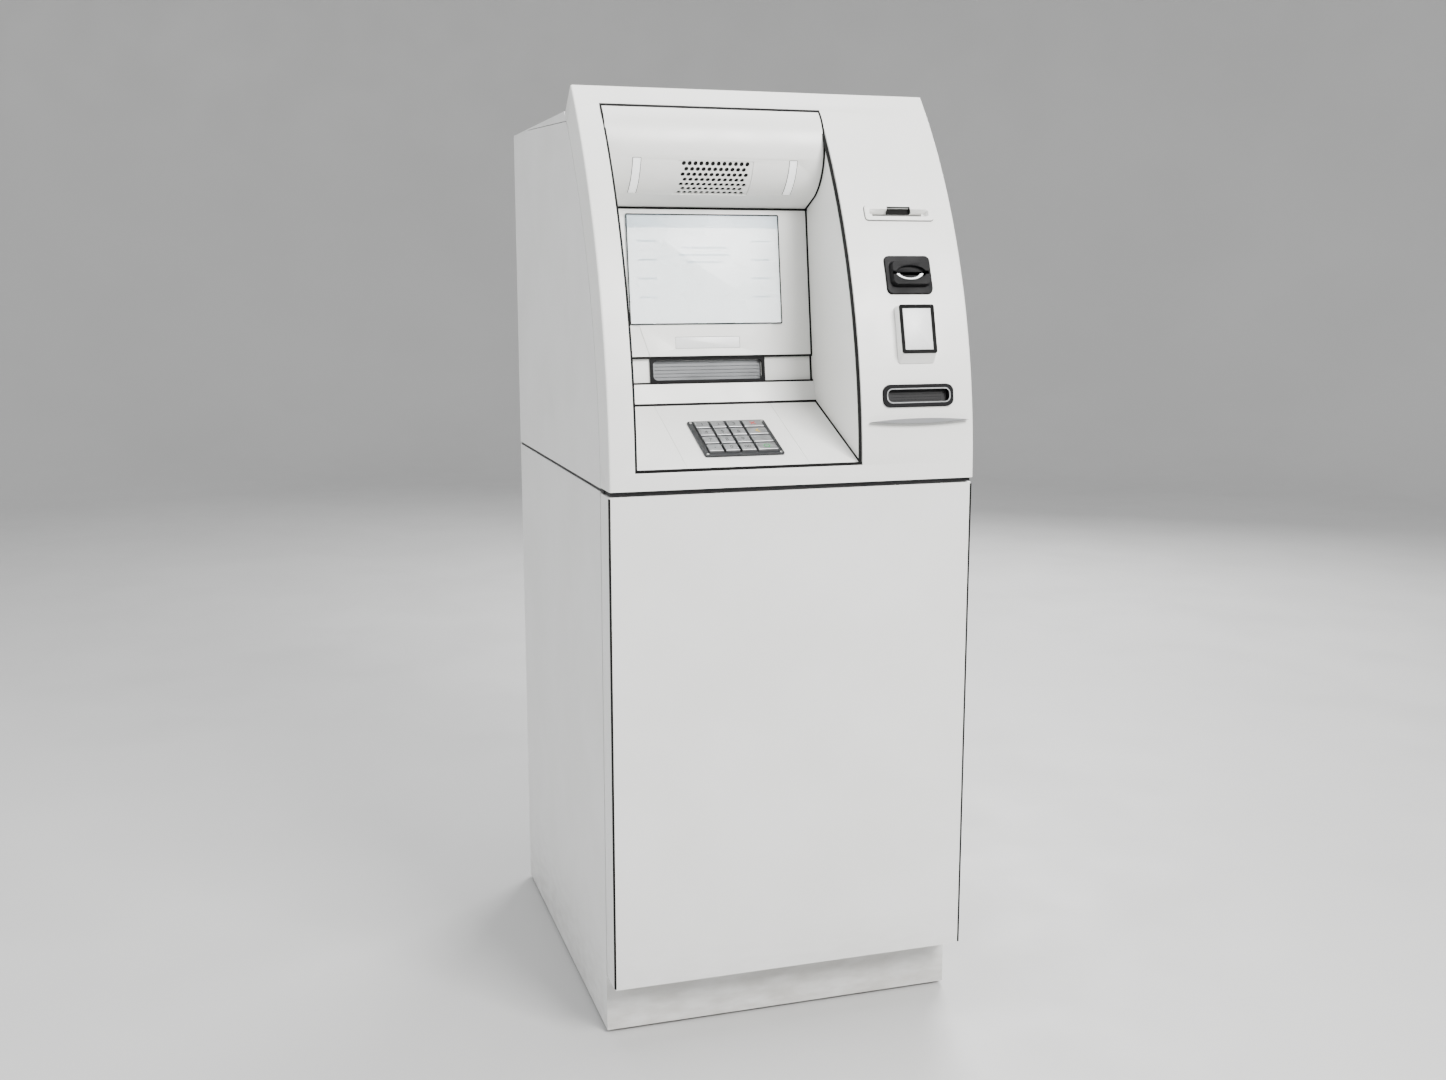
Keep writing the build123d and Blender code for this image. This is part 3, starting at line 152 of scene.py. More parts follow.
def makeFinish(name, colour, worn, rough, spread=0.06, grain=900, depth=0.00004, strength=0.35,
               stretch=(1, 1, 1), metal=0.0, coat=0.0, cells=False, cloud=7, dust=0.0, gloss=0.5):
    finish = bpy.data.materials.new(name)
    finish.use_nodes = True
    tree = finish.node_tree
    shader = tree.nodes["Principled BSDF"]
    shader.inputs["Metallic"].default_value = metal
    shader.inputs["Specular IOR Level"].default_value = gloss
    shader.inputs["Coat Weight"].default_value = coat
    shader.inputs["Coat Roughness"].default_value = 0.25
    place = tree.nodes.new("ShaderNodeTexCoord").outputs["Object"]
    clouds = patterned(tree, place, cloud, detail=5)
    blend = tree.nodes.new("ShaderNodeMix")
    blend.data_type = "RGBA"
    blend.inputs["A"].default_value = (*colour, 1)
    blend.inputs["B"].default_value = (*worn, 1)
    tree.links.new(ramped(tree, clouds, 0.0, 1.0), blend.inputs["Factor"])
    painted = blend.outputs["Result"]
    if dust:
        painted = dusted(tree, place, painted, dust)
    tree.links.new(painted, shader.inputs["Base Color"])
    kind = "ShaderNodeTexVoronoi" if cells else "ShaderNodeTexNoise"
    fine = patterned(tree, place, grain, stretch, 2, kind)
    tree.links.new(ramped(tree, patterned(tree, place, cloud * 3, detail=4), rough - spread, rough + spread),
                   shader.inputs["Roughness"])
    bump = tree.nodes.new("ShaderNodeBump")
    bump.inputs["Strength"].default_value = strength
    bump.inputs["Distance"].default_value = depth
    tree.links.new(fine, bump.inputs["Height"])
    tree.links.new(bump.outputs["Normal"], shader.inputs["Normal"])
    finishes[name] = finish
    return finish


settings = {
    "cabinet_paint": dict(colour=(0.80, 0.80, 0.79), worn=(0.765, 0.765, 0.75), rough=0.42, grain=520,
                          depth=0.00012, strength=0.3, dust=0.35),
    "plinth_paint": dict(colour=(0.72, 0.72, 0.71), worn=(0.66, 0.655, 0.64), rough=0.46, grain=520,
                         depth=0.00012, dust=0.5),
    "front_moulding": dict(colour=(0.84, 0.84, 0.82), worn=(0.81, 0.81, 0.785), rough=0.38, grain=1100,
                           depth=0.00005, strength=0.25, cells=True, coat=0.08),
    "black_moulding": dict(colour=(0.004, 0.004, 0.0045), worn=(0.008, 0.008, 0.009), rough=0.46, grain=1300,
                           depth=0.00005, cells=True, gloss=0.10),
    "bare_steel": dict(colour=(0.56, 0.56, 0.55), worn=(0.46, 0.46, 0.45), rough=0.33, grain=700,
                       stretch=(1, 1, 0.06), metal=1.0),
    "dark_steel": dict(colour=(0.014, 0.014, 0.015), worn=(0.024, 0.024, 0.025), rough=0.5, grain=600,
                       gloss=0.25),
    "safe_paint": dict(colour=(0.20, 0.22, 0.24), worn=(0.15, 0.165, 0.18), rough=0.45, grain=240,
                       depth=0.0004, strength=0.5, cells=True),
    "handle_chrome": dict(colour=(0.80, 0.80, 0.80), worn=(0.70, 0.70, 0.70), rough=0.12, spread=0.04,
                          metal=1.0, strength=0.05),
    "dial_metal": dict(colour=(0.10, 0.10, 0.11), worn=(0.15, 0.15, 0.16), rough=0.32, metal=0.8, grain=900),
    "galvanised": dict(colour=(0.55, 0.57, 0.58), worn=(0.42, 0.44, 0.46), rough=0.36, spread=0.12,
                       metal=0.9, grain=90, depth=0.0001, cells=True, cloud=26),
    "cassette_plastic": dict(colour=(0.09, 0.10, 0.12), worn=(0.12, 0.13, 0.15), rough=0.5, grain=1000,
                             cells=True),
    "unit_case": dict(colour=(0.16, 0.165, 0.17), worn=(0.12, 0.125, 0.13), rough=0.48, grain=600),
    "grey_moulding": dict(colour=(0.22, 0.225, 0.23), worn=(0.19, 0.195, 0.20), rough=0.46, grain=1200,
                          cells=True),
    "slot_metal": dict(colour=(0.16, 0.165, 0.17), worn=(0.12, 0.125, 0.13), rough=0.36, metal=0.6,
                       grain=900, stretch=(0.03, 1, 1), depth=0.00006, strength=0.5),
    "keypad_metal": dict(colour=(0.34, 0.345, 0.35), worn=(0.26, 0.265, 0.27), rough=0.34, metal=0.8,
                         grain=1400, stretch=(0.05, 1, 1), depth=0.00004, strength=0.5, cloud=60),
    "keypad_frame_metal": dict(colour=(0.022, 0.023, 0.025), worn=(0.035, 0.036, 0.038), rough=0.4,
                               metal=0.3, grain=1400, stretch=(0.05, 1, 1), depth=0.00004, cloud=40,
                               gloss=0.25),
    "paper": dict(colour=(0.84, 0.84, 0.82), worn=(0.78, 0.78, 0.75), rough=0.8, grain=1500,
                  stretch=(0.2, 1, 1)),
    "rod_chrome": dict(colour=(0.80, 0.80, 0.80), worn=(0.72, 0.72, 0.72), rough=0.10, spread=0.03,
                       metal=1.0, strength=0.05),
}
for name, values in settings.items():
    makeFinish(name, **values)


def makeLamp():
    lamp = makeFinish("lamp_lens", (0.90, 0.92, 0.93), (0.84, 0.86, 0.88), 0.3, grain=700, cells=True)
    shader = lamp.node_tree.nodes["Principled BSDF"]
    shader.inputs["Emission Color"].default_value = (1.0, 0.97, 0.92, 1)
    shader.inputs["Emission Strength"].default_value = 0.6
    return lamp


def makeGlass():
    glass = makeFinish("screen_glass", (0.96, 0.98, 0.98), (0.92, 0.95, 0.95), 0.28, spread=0.03, grain=300,
                       strength=0.02)
    shader = glass.node_tree.nodes["Principled BSDF"]
    shader.inputs["Transmission Weight"].default_value = 1.0
    shader.inputs["IOR"].default_value = 1.45
    return glass


def makeGlow(name, colour, deep, strength):
    # a lit layer of the screen, its brightness varying a little at random across it
    glow = makeFinish(name, colour, deep, 0.4, grain=500, cloud=4)
    shader = glow.node_tree.nodes["Principled BSDF"]
    tint = next(node for node in glow.node_tree.nodes if node.type == "MIX").outputs["Result"]
    glow.node_tree.links.new(tint, shader.inputs["Emission Color"])
    shader.inputs["Emission Strength"].default_value = strength
    return glow


makeLamp()
makeGlass()
makeGlow("screenField", (0.93, 0.945, 0.95), (0.90, 0.92, 0.93), 1.4)
makeGlow("screenPlate", (0.96, 0.97, 0.98), (0.94, 0.96, 0.97), 1.4)
makeGlow("screenBar", (0.62, 0.69, 0.74), (0.58, 0.66, 0.72), 1.0)
makeFinish("legendInk", (0.02, 0.02, 0.022), (0.035, 0.035, 0.035), 0.5)
makeFinish("legendWhite", (0.85, 0.85, 0.84), (0.78, 0.78, 0.77), 0.5)
makeFinish("rubber", (0.005, 0.005, 0.005), (0.010, 0.010, 0.010), 0.7, grain=900, gloss=0.1)
makeFinish("padWhite", (0.80, 0.81, 0.81), (0.76, 0.77, 0.77), 0.3, grain=1300)
makeFinish("cancelRed", (0.55, 0.03, 0.02), (0.45, 0.025, 0.02), 0.4)
makeFinish("clearYellow", (0.75, 0.48, 0.02), (0.65, 0.42, 0.02), 0.4)
makeFinish("enterGreen", (0.02, 0.32, 0.08), (0.02, 0.26, 0.07), 0.4)
makeFinish("floorCoat", (0.52, 0.52, 0.515), (0.50, 0.50, 0.495), 0.55, spread=0.08, grain=260,
           depth=0.0002, strength=0.15, cloud=1.2)
print("finishes made", len(finishes))


def pour(part, whole):
    loose = bpy.data.meshes.new("loose")
    part.to_mesh(loose)
    part.free()
    whole.from_mesh(loose)
    bpy.data.meshes.remove(loose)


def boxed(middle, half):
    # the pair of values either side of a middle
    return middle - half, middle + half


def bevelled(bm, edges, width, segments):
    bmesh.ops.bevel(bm, geom=edges, offset=width, offset_type="OFFSET", affect="EDGES", segments=segments,
                    profile=0.5, material=-1, clamp_overlap=True)


def plate(whole, x, y, z, corner=0.0, edge=0.0, finish=0, steps=4):
    # slab with rounded corners whose outer rim is softened
    part = bmesh.new()
    bmesh.ops.create_cube(part, size=1)
    size = [pair[1] - pair[0] for pair in (x, y, z)]
    bmesh.ops.scale(part, vec=size, verts=part.verts)
    bmesh.ops.translate(part, vec=[(pair[0] + pair[1]) / 2 for pair in (x, y, z)], verts=part.verts)
    for face in part.faces:
        face.material_index = finish
    if corner:
        bevelled(part, [e for e in part.edges if abs(e.verts[0].co.z - e.verts[1].co.z) > size[2] / 2],
                 corner, steps)
    if edge:
        bevelled(part, [e for e in part.edges if min(v.co.z for v in e.verts) > z[1] - 1e-6], edge, 2)
    pour(part, whole)


def rounded(part, x, y, level, corner, steps=6):
    # outline of a rectangle with rounded corners
    corners = [part.verts.new((x[i], y[j], level)) for i, j in ((0, 0), (1, 0), (1, 1), (0, 1))]
    for i in range(4):
        part.edges.new((corners[i], corners[(i + 1) % 4]))
    bmesh.ops.bevel(part, geom=corners, offset=corner, offset_type="OFFSET", affect="VERTICES",
                    segments=steps, profile=0.5, material=-1)


def ringPlate(whole, x, y, z, width, corner):
    # flat rounded frame of one width
    part = bmesh.new()
    rounded(part, x, y, z[0], corner)
    rounded(part, (x[0] + width, x[1] - width), (y[0] + width, y[1] - width), z[0],
            max(corner - width, 0.0005))
    bmesh.ops.bridge_loops(part, edges=list(part.edges))
    made = bmesh.ops.extrude_face_region(part, geom=list(part.faces), use_keep_orig=True)
    bmesh.ops.translate(part, vec=(0, 0, z[1] - z[0]),
                        verts=[item for item in made["geom"] if isinstance(item, bmesh.types.BMVert)])
    pour(part, whole)


def arcStrip(whole, x, radii, angles, centre, steps=40):
    # strip bent round a line across the machine, between two angles measured from the back upwards
    part = bmesh.new()
    corners = [part.verts.new((x[i], radii[j], 0)) for i, j in ((0, 0), (1, 0), (1, 1), (0, 1))]
    flat = part.faces.new(corners)
    bmesh.ops.rotate(part, verts=part.verts, cent=(0, 0, 0),
                     matrix=Matrix.Rotation(radians(angles[0]), 3, "X"))
    bmesh.ops.spin(part, geom=[flat], axis=(1, 0, 0), cent=(0, 0, 0), steps=steps, use_merge=False,
                   angle=radians(angles[1] - angles[0]), use_duplicate=False)
    bmesh.ops.translate(part, vec=(0, *centre), verts=part.verts)
    bmesh.ops.recalc_face_normals(part, faces=part.faces)
    pour(part, whole)


def turnedShape(whole, profile, middle, outward=None, steps=24):
    # solid of revolution: profile pairs (radius, height) about an axis through middle
    part = bmesh.new()
    ring = [part.verts.new((radius, 0, height)) for radius, height in profile]
    edges = [part.edges.new(pair) for pair in zip(ring, ring[1:])]
    bmesh.ops.spin(part, geom=ring + edges, axis=(0, 0, 1), cent=(0, 0, 0), angle=2 * pi, steps=steps,
                   use_merge=True, use_duplicate=False)
    bmesh.ops.remove_doubles(part, verts=part.verts, dist=1e-6)
    if outward is not None:
        bmesh.ops.rotate(part, verts=part.verts, cent=(0, 0, 0),
                         matrix=upright.rotation_difference(outward).to_matrix())
    bmesh.ops.translate(part, vec=middle, verts=part.verts)
    pour(part, whole)


def addPiece(name, bm, body, coats, up=None, replaced=(), smooth=32):
    if up is not None:
        bmesh.ops.transform(bm, matrix=turned(up).to_4x4(), verts=bm.verts)
    bmesh.ops.recalc_face_normals(bm, faces=bm.faces)
    mesh = bpy.data.meshes.new(name)
    bm.to_mesh(mesh)
    bm.free()
    for coat in coats:
        mesh.materials.append(finishes[coat])
    mesh.shade_smooth()
    mesh.set_sharp_from_angle(angle=radians(smooth))
    piece = bpy.data.objects.new(name, mesh)
    bpy.context.scene.collection.objects.link(piece)
    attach(piece, body)
    if replaced:
        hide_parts(*replaced)
    return piece


def softened(name, width, segments=2, limit=35, flat=0.6):
    # the node's own shape with its sharp edges rounded off
    bm = bmesh.new()
    bm.from_mesh(nodes[name].data)
    bmesh.ops.remove_doubles(bm, verts=bm.verts, dist=2e-6)
    bmesh.ops.dissolve_limit(bm, angle_limit=radians(flat), use_dissolve_boundaries=False, verts=bm.verts,
                             edges=bm.edges, delimit=set())
    for face in bm.faces:
        face.material_index = 0
    piece = addPiece("soft_" + name, bm, bodyOf[name], [slotOf[name]], replaced=[name])
    rounding = piece.modifiers.new("edges", "BEVEL")
    rounding.width = width
    rounding.segments = segments
    rounding.limit_method = "ANGLE"
    rounding.angle_limit = radians(limit)
    rounding.miter_outer = "MITER_ARC"
    rounding.harden_normals = True
    return piece


# panels and mouldings whose edges catch the light
edgeWidths = {
    "fascia_shell": 0.0008, "front_door": 0.0008, "brow_panel": 0.0006, "recess_liner": 0.0006,
    "keypad_shelf": 0.0006, "keypad_frame": 0.0004, "cash_bezel": 0.0006, "receipt_bezel": 0.0006,
    "card_bezel": 0.0006, "contactless_pad": 0.0008, "deposit_bezel": 0.0006, "ledge_strip": 0.0009,
    "top_cover": 0.0006, "left_side_panel": 0.0005, "right_side_panel": 0.0005, "head_left_panel": 0.0005,
    "head_right_panel": 0.0005, "rear_door": 0.0005, "base_frame": 0.0006, "safe_door": 0.0008,
}
for name, width in edgeWidths.items():
    softened(name, width)
print("softened", len(edgeWidths))

screenSizes = {
    "mask": 0.0012, "outline": 0.0020, "layer": 0.0004, "header": 0.020,
    "button": (0.050, 0.020), "corner": 0.003, "margin": 0.006, "firstRow": 0.040, "rowStep": 0.0285,
    "barInset": 0.010, "barHalf": 0.0012,
    "noticeHalf": 0.052, "noticeEnds": (0.016, 0.032), "lines": (0.036, 0.040, 0.028), "lineHalf": 0.0015,
    "firstLine": 0.050, "lineStep": 0.011,
}


def buildScreen():
    x, s, n = spans("screen_glass", wallUp)
    layer, mask = screenSizes["layer"], screenSizes["mask"]
    pane = bmesh.new()
    plate(pane, x, s, (n[0] + 2 * layer, n[1]), corner=0.0015, edge=0.0008)
    addPiece("screenPane", pane, "fascia", ["screen_glass"], wallUp, ["screen_glass"])
    rim = bmesh.new()
    ringPlate(rim, x, s, (n[1] - 0.0002, n[1] + 0.0002), screenSizes["outline"], 0.0022)
    addPiece("screenMask", rim, "fascia", ["rubber"], wallUp)

    # picture: a lit field, a header, a notice and eight blank buttons, each a step prouder than the last
    picture = bmesh.new()
    inX, inS = (x[0] + mask, x[1] - mask), (s[0] + mask, s[1] - mask)
    top, middle = inS[1], (x[0] + x[1]) / 2
    buttons, bars = (n[0], n[0] + layer), (n[0], n[0] + layer + 0.0001)
    plate(picture, inX, inS, (n[0], n[0] + layer * 0.5))
    plate(picture, inX, (top - screenSizes["header"], top), (n[0], n[0] + layer * 0.7), finish=2)
    wide, tall = screenSizes["button"]
    inset, half = screenSizes["barInset"], screenSizes["barHalf"]
    for side in (-1, 1):
        near = inX[0] + screenSizes["margin"] if side < 0 else inX[1] - screenSizes["margin"] - wide
        for row in range(4):
            centre = top - screenSizes["firstRow"] - row * screenSizes["rowStep"]
            plate(picture, (near, near + wide), boxed(centre, tall / 2), buttons,
                  corner=screenSizes["corner"], finish=1)
            plate(picture, (near + inset, near + wide - inset), boxed(centre, half), bars, finish=2)
    low, high = screenSizes["noticeEnds"]
    half = screenSizes["noticeHalf"]
    plate(picture, boxed(middle, half), (inS[0] + low, top - high), buttons, corner=0.004, finish=1)
    for row, half in enumerate(screenSizes["lines"]):
        centre = top - screenSizes["firstLine"] - row * screenSizes["lineStep"]
        plate(picture, boxed(middle, half), boxed(centre, screenSizes["lineHalf"]), bars, finish=2)
    addPiece("screenPicture", picture, "fascia", ["screenField", "screenPlate", "screenBar"],
             wallUp)


buildScreen()
print("screen lit")

legendSizes = {"digit": 0.0105, "thick": 0.00025, "sink": 0.0001, "stroke": 0.0008, "dot": 0.0012,
               "cross": 0.011, "chevron": 0.0075, "ring": (0.0034, 0.0050)}
legends = {"one": "1", "two": "2", "three": "3", "four": "4", "five": "5", "six": "6", "seven": "7",
           "eight": "8", "nine": "9", "zero": "0", "double_zero": "00"}


def lettered(text, size, middle, low):
    words = bpy.data.curves.new("words", "FONT")
    words.body = text
    words.size = size
    words.align_x = "CENTER"
    words.align_y = "CENTER"
    words.extrude = legendSizes["thick"] / 2
    holder = bpy.data.objects.new("words", words)
    bpy.context.scene.collection.objects.link(holder)
    mesh = bpy.data.meshes.new_from_object(holder.evaluated_get(bpy.context.evaluated_depsgraph_get()))
    bpy.data.objects.remove(holder)
    bm = bmesh.new()
    bm.from_mesh(mesh)
    bpy.data.meshes.remove(mesh)
    bmesh.ops.remove_doubles(bm, verts=bm.verts, dist=1e-7)
    flat = [v.co.copy() for v in bm.verts]
    centre = [(min(c[i] for c in flat) + max(c[i] for c in flat)) / 2 for i in range(2)]
    bmesh.ops.translate(bm, vec=(middle[0] - centre[0], middle[1] - centre[1], low), verts=bm.verts)
    return bm


def strokes(bm, middle, angles, length, low, shift=(0, 0)):
    # short raised bars through a point
    for angle in angles:
        part = bmesh.new()
        plate(part, (-length / 2, length / 2), (-legendSizes["stroke"], legendSizes["stroke"]),
              (low, low + legendSizes["thick"]))
        bmesh.ops.translate(part, vec=(shift[0], shift[1], 0), verts=part.verts)
        bmesh.ops.rotate(part, verts=part.verts, cent=(0, 0, 0), matrix=Matrix.Rotation(angle, 3, "Z"))
        bmesh.ops.translate(part, vec=(middle[0], middle[1], 0), verts=part.verts)
        pour(part, bm)


def buildLegends():
    thick, (inner, outer) = legendSizes["thick"], legendSizes["ring"]
    for node in [name for name in nodes if name.startswith("key_")]:
        word = node[4:]
        x, s, n = spans(node, shelfUp)
        middle = ((x[0] + x[1]) / 2, (s[0] + s[1]) / 2)
        low = n[1] - legendSizes["sink"]
        ink = "legendInk"
        bm = bmesh.new()
        if word == "dot":
            turnedShape(bm, [(0, 0), (legendSizes["dot"], 0), (legendSizes["dot"], thick), (0, thick)],
                        (*middle, low), steps=16)
        elif word in legends:
            pour(lettered(legends[word], legendSizes["digit"], middle, low + thick / 2), bm)
        elif word == "cancel":
            strokes(bm, middle, (pi / 4, -pi / 4), legendSizes["cross"], low)
            ink = "cancelRed"
        elif word == "clear":
            strokes(bm, (middle[0] - 0.002, middle[1]), (pi / 4, -pi / 4), legendSizes["chevron"], low,
                    (0.0029, 0))
            ink = "clearYellow"
        elif word == "enter":
            turnedShape(bm, [(inner, 0), (outer, 0), (outer, thick), (inner, thick), (inner, 0)],
                        (*middle, low), steps=32)
            ink = "enterGreen"
        else:
            bm.free()     # the blank key
            continue
        if word == "five":
            # raised dot for finding the middle of the keypad by touch
            turnedShape(bm, [(0, 0), (0.0006, 0), (0.0005, 0.0005), (0, 0.0006)],
                        (middle[0], s[0] + 0.0045, low), steps=12)
        addPiece("legend_" + word, bm, bodyOf[node], [ink], shelfUp)


buildLegends()
print("keypad lettered")


labelSizes = {"drop": 0.0367, "wide": 0.103, "tall": 0.017, "rim": 0.0004, "line": 0.0008}


def buildLabel():
    # blank plate between the screen and the cash slot, with a thin outline
    x = spans("cash_bezel", wallUp)[0]
    glass = spans("screen_glass", wallUp)
    middle, half, rim = (x[0] + x[1]) / 2, labelSizes["wide"] / 2, labelSizes["rim"]
    face = glass[2][0] + 0.0007
    low = glass[1][0] - labelSizes["drop"] + 0.0005
    high = low + labelSizes["tall"]
    label = bmesh.new()
    plate(label, boxed(middle, half), (low, high), (face, face + 0.0006), corner=0.0008, edge=0.0002)
    addPiece("blankLabel", label, "fascia", ["padWhite"], wallUp)
    outline = bmesh.new()
    ringPlate(outline, (middle - half - rim, middle + half + rim), (low - rim, high + rim),
              (face - 0.0002, face + 0.0004), labelSizes["line"], 0.0012)
    addPiece("labelOutline", outline, "fascia", ["grey_moulding"], wallUp)


buildLabel()

seamSizes = {"wide": 0.0030, "proud": 0.0006, "bead": 0.0042, "root": 0.003, "gap": 0.0003,
             "bandDepth": 0.006, "bandStep": 0.0056, "foot": 0.0022}
shelfBack = (-0.157686, 0.9454)       # y and z of the crease behind the shelf
wallHead = (-0.105686, 1.2435)        # y and z of the top of the wall, where the brow's underside starts
riserUp = Vector((0, 0.416, 0.909)).normalized()


def bar(whole, up, x, s, n):
    # straight strip between values along a face's own directions, turned into place
    part = bmesh.new()
    plate(part, x, s, n)
    bmesh.ops.transform(part, matrix=turned(up).to_4x4(), verts=part.verts)
    pour(part, whole)


def liningEnds():
    # the recess between its two side linings
    x = spans("recess_liner", wallUp)[0]
    return x[0] + 0.003, x[1] - 0.003


def bothSides(width):
    # strips of one width against the left and the right lining
    left, right = liningEnds()
    return (left, left + width), (right - width, right)


def buildRecessSeamsAndPaintedShade():
    # black strips along the recess's creases and over the band inset's top and bottom walls: partly rubber joints
    # between the mouldings, partly painted shade where the creases and the inset fall dark
    wide, proud, x = seamSizes["wide"], seamSizes["proud"], liningEnds()
    wallFace = spans("screen_glass", wallUp)[2][0]
    bandFace = wallFace - seamSizes["bandDepth"]
    bezel = spans("cash_bezel", wallUp)[1]
    band = (bezel[0] - seamSizes["gap"], bezel[1] + seamSizes["gap"])
    head = spans("monitor", wallUp)[1][1] + 0.004
    shelf = spans("keypad_shelf", shelfUp)
    top = shelf[2][1]
    seams = bmesh.new()
    # black strips covering the band inset's top and bottom walls: painted shade inside the inset
    for s in ((band[0], band[0] + wide), (band[1] - wide, band[1])):
        bar(seams, wallUp, x, s, (bandFace, bandFace + seamSizes["bandStep"]))
    # black strips in the wall's top crease, along the shelf's edges and down the side creases: rubber joints that
    # also serve as painted shade in those creases
    bar(seams, wallUp, x, (head - wide, head - seamSizes["gap"]), (wallFace, wallFace + 3 * proud))
    bar(seams, shelfUp, x, (shelf[1][1] - wide, shelf[1][1]), (top, top + proud))
    bar(seams, shelfUp, x, (shelf[1][0], shelf[1][0] + wide), (top, top + proud * 0.6))
    for near in bothSides(wide):
        bar(seams, wallUp, near, band, (bandFace, bandFace + proud))
        bar(seams, wallUp, near, (band[1], head), (wallFace, wallFace + proud))
        bar(seams, shelfUp, near, shelf[1], (top, top + proud))
    addPiece("recessSeamsAndPaintedShade", seams, "fascia", ["rubber"])


def buildOpeningBead():
    # black bead round the edge of the opening in the curved front
    bead, thick, root = bmesh.new(), seamSizes["bead"], seamSizes["root"]
    outer = front["radius"] - front["wall"]
    for near in bothSides(thick):
        arcStrip(bead, near, (outer - root, outer), (180 - front["low"], 180 - front["high"]), frontMiddle,
                 steps=60)
    part, lean = bmesh.new(), radians(front["low"])
    plate(part, liningEnds(), (0, thick), (outer - root, outer + 2 * seamSizes["proud"]))
    bmesh.ops.transform(part, matrix=turned(Vector((0, sin(lean), cos(lean)))).to_4x4(), verts=part.verts)
    bmesh.ops.translate(part, vec=(0, *frontMiddle), verts=part.verts)
    pour(part, bead)
    addPiece("openingBead", bead, "fascia", ["rubber"])


buildRecessSeamsAndPaintedShade()
buildOpeningBead()

# the brow's round nose: y and z of its middle, its radius, and the angles between which things lie on it
brow = {"centre": (-0.106686, 1.3285), "radius": 0.0775, "root": 0.001, "arc": (125.0, 241.7),
        "top": (129.4, 132.8), "lamp": 0.012, "lampOffset": 0.122, "lampSpan": (193.0, 238.0),
        "seal": 0.0008, "clothHalf": 0.0585, "clothDepth": (0.0046, 0.0032), "speaker": (195.5, 240.0)}


def buildBrow():
    # black strips where the brow meets the recess's sides and the opening's top: partly rubber joints, partly
    # painted shade in those creases
    x, wide, proud = liningEnds(), seamSizes["wide"], seamSizes["proud"]
    centre, radius = brow["centre"], brow["radius"]
    skin = (radius - brow["root"], radius + proud)
    last = radians(brow["arc"][1])
    tip = Vector((0, *wallHead))
    tail = Vector((0, centre[0] + radius * cos(last), centre[1] + radius * sin(last))) - tip
    under = tail.normalized()
    start, out = tip.dot(under), tip.dot(across.cross(under))
    bead = bmesh.new()
    for near in bothSides(wide):
        arcStrip(bead, near, skin, brow["arc"], centre)
        bar(bead, under, near, (start, start + tail.length), (out - brow["root"], out + proud))
    arcStrip(bead, x, skin, brow["top"], centre, 4)
    addPiece("browBeadAndPaintedShade", bead, "fascia", ["rubber"])

    # thin seals round the two lamps, and the cloth behind the speaker's holes
    seals, middle, half, thin = bmesh.new(), (x[0] + x[1]) / 2, brow["lamp"] / 2, brow["seal"]
    skin = (radius - brow["root"], radius + proud / 2)
    for side in (-1, 1):
        lamp = middle + side * brow["lampOffset"]
        for edge in (lamp - half - thin + 0.0002, lamp + half - 0.0002):
            arcStrip(seals, (edge, edge + thin), skin, brow["lampSpan"], centre)
        for angle in brow["lampSpan"]:
            arcStrip(seals, (lamp - half, lamp + half), skin, (angle - 0.3, angle + 0.3), centre, 2)
    addPiece("lampSeals", seals, "fascia", ["rubber"])
    cloth = bmesh.new()
    arcStrip(cloth, (middle - brow["clothHalf"], middle + brow["clothHalf"]),
             [radius - depth for depth in brow["clothDepth"]], brow["speaker"], centre)
    addPiece("speakerCloth", cloth, "fascia", ["rubber"])


def buildRiserSeamAndPaintedShade():
    # black strip at the foot of the wall above the shelf: partly a rubber joint, partly painted shade in the
    # crease behind the shelf
    foot, corner = bmesh.new(), Vector((0, *shelfBack))
    start, out = corner.dot(riserUp), corner.dot(across.cross(riserUp))
    bar(foot, riserUp, liningEnds(), (start, start + seamSizes["foot"]),
        (out - seamSizes["gap"], out + seamSizes["proud"]))
    addPiece("riserSeamAndPaintedShade", foot, "fascia", ["rubber"])


buildBrow()
buildRiserSeamAndPaintedShade()

trimSizes = {"front": 0.0022, "side": 0.0035, "proud": 0.0004, "end": 0.002}


def buildTrim():
    # black trim down the front door's edges
    low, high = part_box("front_door")
    proud, end = trimSizes["proud"], trimSizes["end"]
    trim = bmesh.new()
    for x in ((low.x - proud, low.x + trimSizes["front"]), (high.x - trimSizes["front"], high.x + proud)):
        plate(trim, x, (low.y - proud, low.y + trimSizes["side"]), (low.z + end, high.z - end), edge=0.0003)
    addPiece("doorTrim", trim, "front_door", ["rubber"])


buildTrim()
print("seams sealed")

readerSizes = {"rise": 0.006, "rim": (0.0279, 0.0364), "rimWidth": 0.0054, "rimCorner": 0.0034,
               "face": (0.0222, 0.0307)}
lipSizes = {"half": 0.0215, "drop": 0.0108, "shift": 0.0025, "from": 192, "sweep": 156,
            "profile": ((0.80, 0.0070), (1.0, 0.0070), (1.0, 0.0136), (0.86, 0.0136), (0.80, 0.0128))}
wellSizes = {"half": 0.0188, "rise": (0.0002, 0.0098), "floor": 0.0040, "top": 0.0026, "skin": 0.0003}
bezelSizes = {"receipt": (0.110, 0.024, 0.006), "card": (0.072, 0.058, 0.008),
              "deposit": (0.112, 0.032, 0.012)}     # width, height and corner of each
sealSizes = {"reach": 0.0008, "width": 0.0014, "depth": 0.0040, "proud": 0.0005,
             "lipInset": 0.0050, "lipWidth": 0.0016, "lipProud": 0.0004}


